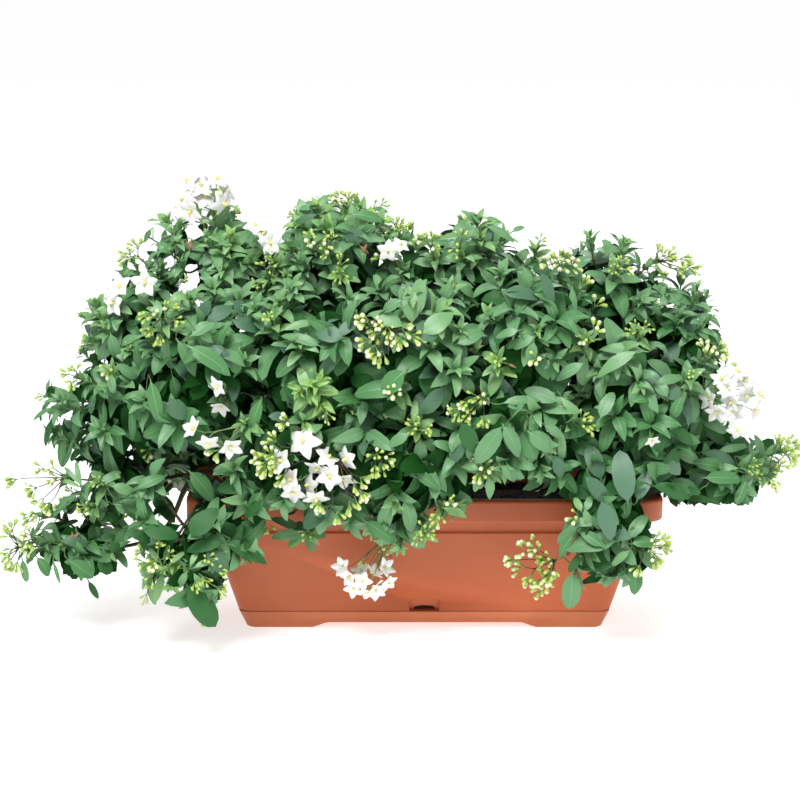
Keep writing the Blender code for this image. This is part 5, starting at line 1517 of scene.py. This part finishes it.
FLOWER_CLEAR, FLOWER_REACH, PETALS_ACROSS, SPRAY_REACH = 0.009, 0.070, 8, 0.019
FLOWER_TRIES, FLOWER_STEP, FLOWER_NEARER, FLOWER_STALK_POINTS = 14, 0.006, (0.005, 0.025), 6
PETAL_STRAY, PETAL_BEND, CUPS, CUP_WHEN_SMALL = (0.93, 1.06), 0.28, (0.0, 0.7), 1.2
FACE_STRAY, NODS, SPRAY_STALK = 0.25, (0.7, 1.5), (1.7, 1.6, 1.5, 1.4, 1.3, 1.2)
BACK_OPENING, BACK_STALKS, BACK_FACE_OUT, BACK_FROM = 0.75, (0.028, 0.042), 0.6, 0.05
BACK_FLOWER_CLEAR, BACK_FLOWER_SIZE, OVERHUNG_BELOW = 0.020, 0.9, 520


def petal_points(cup, rng):
    """One petal along +Y: a keeled blade that bends back from the flower's face."""
    rows = np.append(PETAL_ROWS, 1.0)
    length, half = PETAL_LENGTH * rng.uniform(*PETAL_STRAY), PETAL_WIDTH / 2 * PETAL_OUTLINE
    y = rows * length
    z = cup * (rows - 0.1) * length - PETAL_BEND * length * (rows - 0.1) ** 2
    across = np.stack([-half, -half * 0.5, 0 * half, half * 0.5, half], axis=1)
    share = np.abs(across) / half[:, None]
    rise = PETAL_KEEL * PETAL_WIDTH * (1 - share ** 1.5)
    grid = np.stack([across, np.repeat(y[:-1, None], 5, 1), z[:-1, None] + rise], axis=2)
    return np.concatenate([grid.reshape(-1, 3), [[0.0, y[-1], z[-1]]]])


PETAL_FACES, _ = leaf_faces(len(PETAL_ROWS), 4)


def add_flower(flowers, stalks, root, place, face, size, rng, petal_finish=0):
    """A flower at a place, facing a way, on a stalk from its head's root. It tells whether there was room."""
    cup = rng.uniform(*CUPS) + (0.9 - size) * CUP_WHEN_SMALL
    spin = rng.uniform(0, 2 * math.pi)
    side = face.orthogonal().normalized()
    petals = []
    for n in range(PETALS):
        run = Matrix.Rotation(spin + 2 * math.pi * n / PETALS, 3, face) @ side
        petals.append(turned(petal_points(cup, rng) * size, place, run, face))
    if not all(has_room(points) for points in petals):
        return False
    for points in petals:
        flowers.add(points, PETAL_FACES, [petal_finish] * len(PETAL_FACES))
    foot = place - face * CALYX_BACK
    anthers = surface_points(ANTHER_ROWS, FORM_SIDES, ANTHER_LENGTH, ANTHER_WIDTH) * size
    calyx = surface_points(CALYX_ROWS, FORM_SIDES, CALYX_LENGTH, CALYX_WIDTH)
    for rows, form, start, finish in ((ANTHER_ROWS, anthers, place, 1), (CALYX_ROWS, calyx, foot, 2)):
        faces = surface_faces(len(rows), FORM_SIDES)
        flowers.add(turned(form, start, face, side), faces, [finish] * len(faces))
    line = bend(root, (foot - root).normalized(), foot, face, FLOWER_STALK_POINTS)
    add_stalk(stalks, line, [STALK_SHARE] * FLOWER_STALK_POINTS, 0)
    return True


petal_white = leaf_surface("petal_white", (0.690, 0.700, 0.670), 0.55, 0.30)
petal_painted_light = leaf_surface("petal_painted_light", (0.940, 0.945, 0.920), 0.55, 0.30)
anther_yellow = leaf_surface("anther_yellow", (0.800, 0.720, 0.200), 0.50)
flowers, flower_rng = Gathered(), random.Random(47)


def before_foliage(pixel_x, pixel_y, root):
    """The way through a pixel, and the reach along it that is level with a root but clear of the leaves."""
    way = sight(pixel_x, pixel_y)
    level = (root - LENS_PLACE).dot(AHEAD) / way.dot(AHEAD)
    reach = level - flower_rng.uniform(*FLOWER_NEARER)
    beside = ((0, 0), (-PETALS_ACROSS, 0), (PETALS_ACROSS, 0), (0, -PETALS_ACROSS), (0, PETALS_ACROSS))
    met = [foliage_ahead(sight(pixel_x + x, pixel_y + y)) for x, y in beside]
    met = [reach for reach in met if reach is not None]
    if met:
        reach = max(min(reach, min(met) - FLOWER_CLEAR), level - FLOWER_REACH)
    return way, reach


for root_pixel, size, flower_pixels, spray_pixels in FLOWER_HEADS:
    at, _ = hit_on_crown(*root_pixel)
    carrier = min((s for s in shoots if s.young), key=lambda shoot: (shoot.tip - at).length)
    root = carrier.tip
    stalk_finish = 0 if size < GREEN_STALKED_UNDER else 1
    # Heads that hang below the foliage get whiter petals: painted light against the shade that the foliage
    # above casts on them.
    petal_finish = 3 if root_pixel[1] > OVERHUNG_BELOW else 0
    for pixel_x, pixel_y, nod in flower_pixels:
        way, reach = before_foliage(pixel_x, pixel_y, root)
        face = -AHEAD + Vector([flower_rng.uniform(-FACE_STRAY, FACE_STRAY) for _ in range(3)])
        if nod is not None:
            face += in_picture(nod) * flower_rng.uniform(*NODS)
        face.normalize()
        for attempt in range(FLOWER_TRIES):
            moved = FLOWER_STEP * ((attempt + 1) // 2) * (-1 if attempt % 2 else 1)
            place = LENS_PLACE + way * (reach + moved)
            if add_flower(flowers, stalks, root, place, face, size, flower_rng, petal_finish):
                break
    for pixel_x, pixel_y, count in spray_pixels:
        way, reach = before_foliage(pixel_x, pixel_y, root)
        place = LENS_PLACE + way * reach
        out = (place - root).normalized()
        short = min(SPRAY_REACH, (place - root).length * 0.6)
        line = bend(root, (carrier.way + out).normalized(), place - out * short, out, len(SPRAY_STALK))
        add_stalk(stalks, line, SPRAY_STALK, stalk_finish)
        length = BUD_LENGTH[1] * min(size + 0.12, 1.0)
        add_bud_spray(buds, stalks, line[-1], out, count, bud_rng, length, stalk_finish)


def near_edge(place):
    """Whether a flower at a place would show past the crown's profile, or in one of its gaps."""
    beside = PICTURE_RIGHT * BACK_FLOWER_CLEAR
    clear_pixels = BACK_FLOWER_CLEAR * FOCAL_PIXELS / DISTANCE
    return not in_profile([place - beside, place, place + beside], -clear_pixels)


BACK_HEADS = (("back_left_inner", 7), ("back_right", 8), ("back_low_left", 5), ("back_right_inner", 4))
for name, count in BACK_HEADS:
    on_mass = [shoot for shoot in shoots if shoot.mass == name and shoot.young and shoot.tip.y > BACK_FROM]
    carriers = [shoot for shoot in on_mass if not near_edge(shoot.tip)]
    carrier = max(carriers, key=lambda shoot: crown_outward(shoot.tip).dot(shoot.tip - CROWN_MIDDLE))
    for n in range(count):
        side = Matrix.Rotation(GOLDEN_ANGLE * n, 3, carrier.way) @ carrier.way.orthogonal().normalized()
        out = (carrier.way + side * BACK_OPENING * math.sqrt((n + 0.5) / count)).normalized()
        place = carrier.tip + out * flower_rng.uniform(*BACK_STALKS)
        if near_edge(place):
            continue
        face = (out + crown_outward(place) * BACK_FACE_OUT).normalized()
        add_flower(flowers, stalks, carrier.tip, place, face, BACK_FLOWER_SIZE, flower_rng)
flowers.piece("flowers", "foliage", [petal_white, anther_yellow, bud_green, petal_painted_light])
buds.piece("buds", "foliage", [bud_green, bud_lime, bud_cream])
stalks.piece("flower_stalks", "foliage", [stalk_green, stalk_purple])


# The studio: a plain pale floor that runs out of the picture, one broad soft light above and in front, a
# weaker one from each side, and an even pale surround.
FLOOR_RADIUS, FLOOR_GREY, FLOOR_GLOW = 900.0, 0.82, 0.61
WHITE, SURROUND_STRENGTH = (1.0, 1.0, 1.0, 1.0), 0.45


def studio_floor():
    material = bpy.data.materials.new("pale_floor")
    material.use_nodes = True
    shader = material.node_tree.nodes["Principled BSDF"]
    shader.inputs["Base Color"].default_value = (FLOOR_GREY, FLOOR_GREY, FLOOR_GREY, 1.0)
    shader.inputs["Roughness"].default_value = 0.9
    shader.inputs["Emission Color"].default_value = WHITE
    shader.inputs["Emission Strength"].default_value = FLOOR_GLOW
    bm = bmesh.new()
    bmesh.ops.create_circle(bm, cap_ends=True, segments=64, radius=FLOOR_RADIUS)
    mesh = bpy.data.meshes.new("floor")
    bm.to_mesh(mesh)
    bm.free()
    return link("floor", mesh, [material])


def soft_light(name, place, size, power):
    light = bpy.data.lights.new(name, "AREA")
    light.shape, light.size, light.energy = "DISK", size, power
    lamp = bpy.data.objects.new(name, light)
    lamp.location = place
    lamp.rotation_euler = (AIM - Vector(place)).to_track_quat("-Z", "Y").to_euler()
    bpy.context.scene.collection.objects.link(lamp)


studio_floor()
soft_light("key_light", (-0.6, -1.9, 2.9), 1.5, 112.0)
soft_light("fill_light", (2.4, -1.2, 1.6), 1.8, 16.0)
soft_light("back_light", (0.4, 2.6, 2.4), 2.0, 34.0)
world = bpy.data.worlds.new("studio")
world.use_nodes = True
world.node_tree.nodes["Background"].inputs["Color"].default_value = WHITE
world.node_tree.nodes["Background"].inputs["Strength"].default_value = SURROUND_STRENGTH
bpy.context.scene.world = world
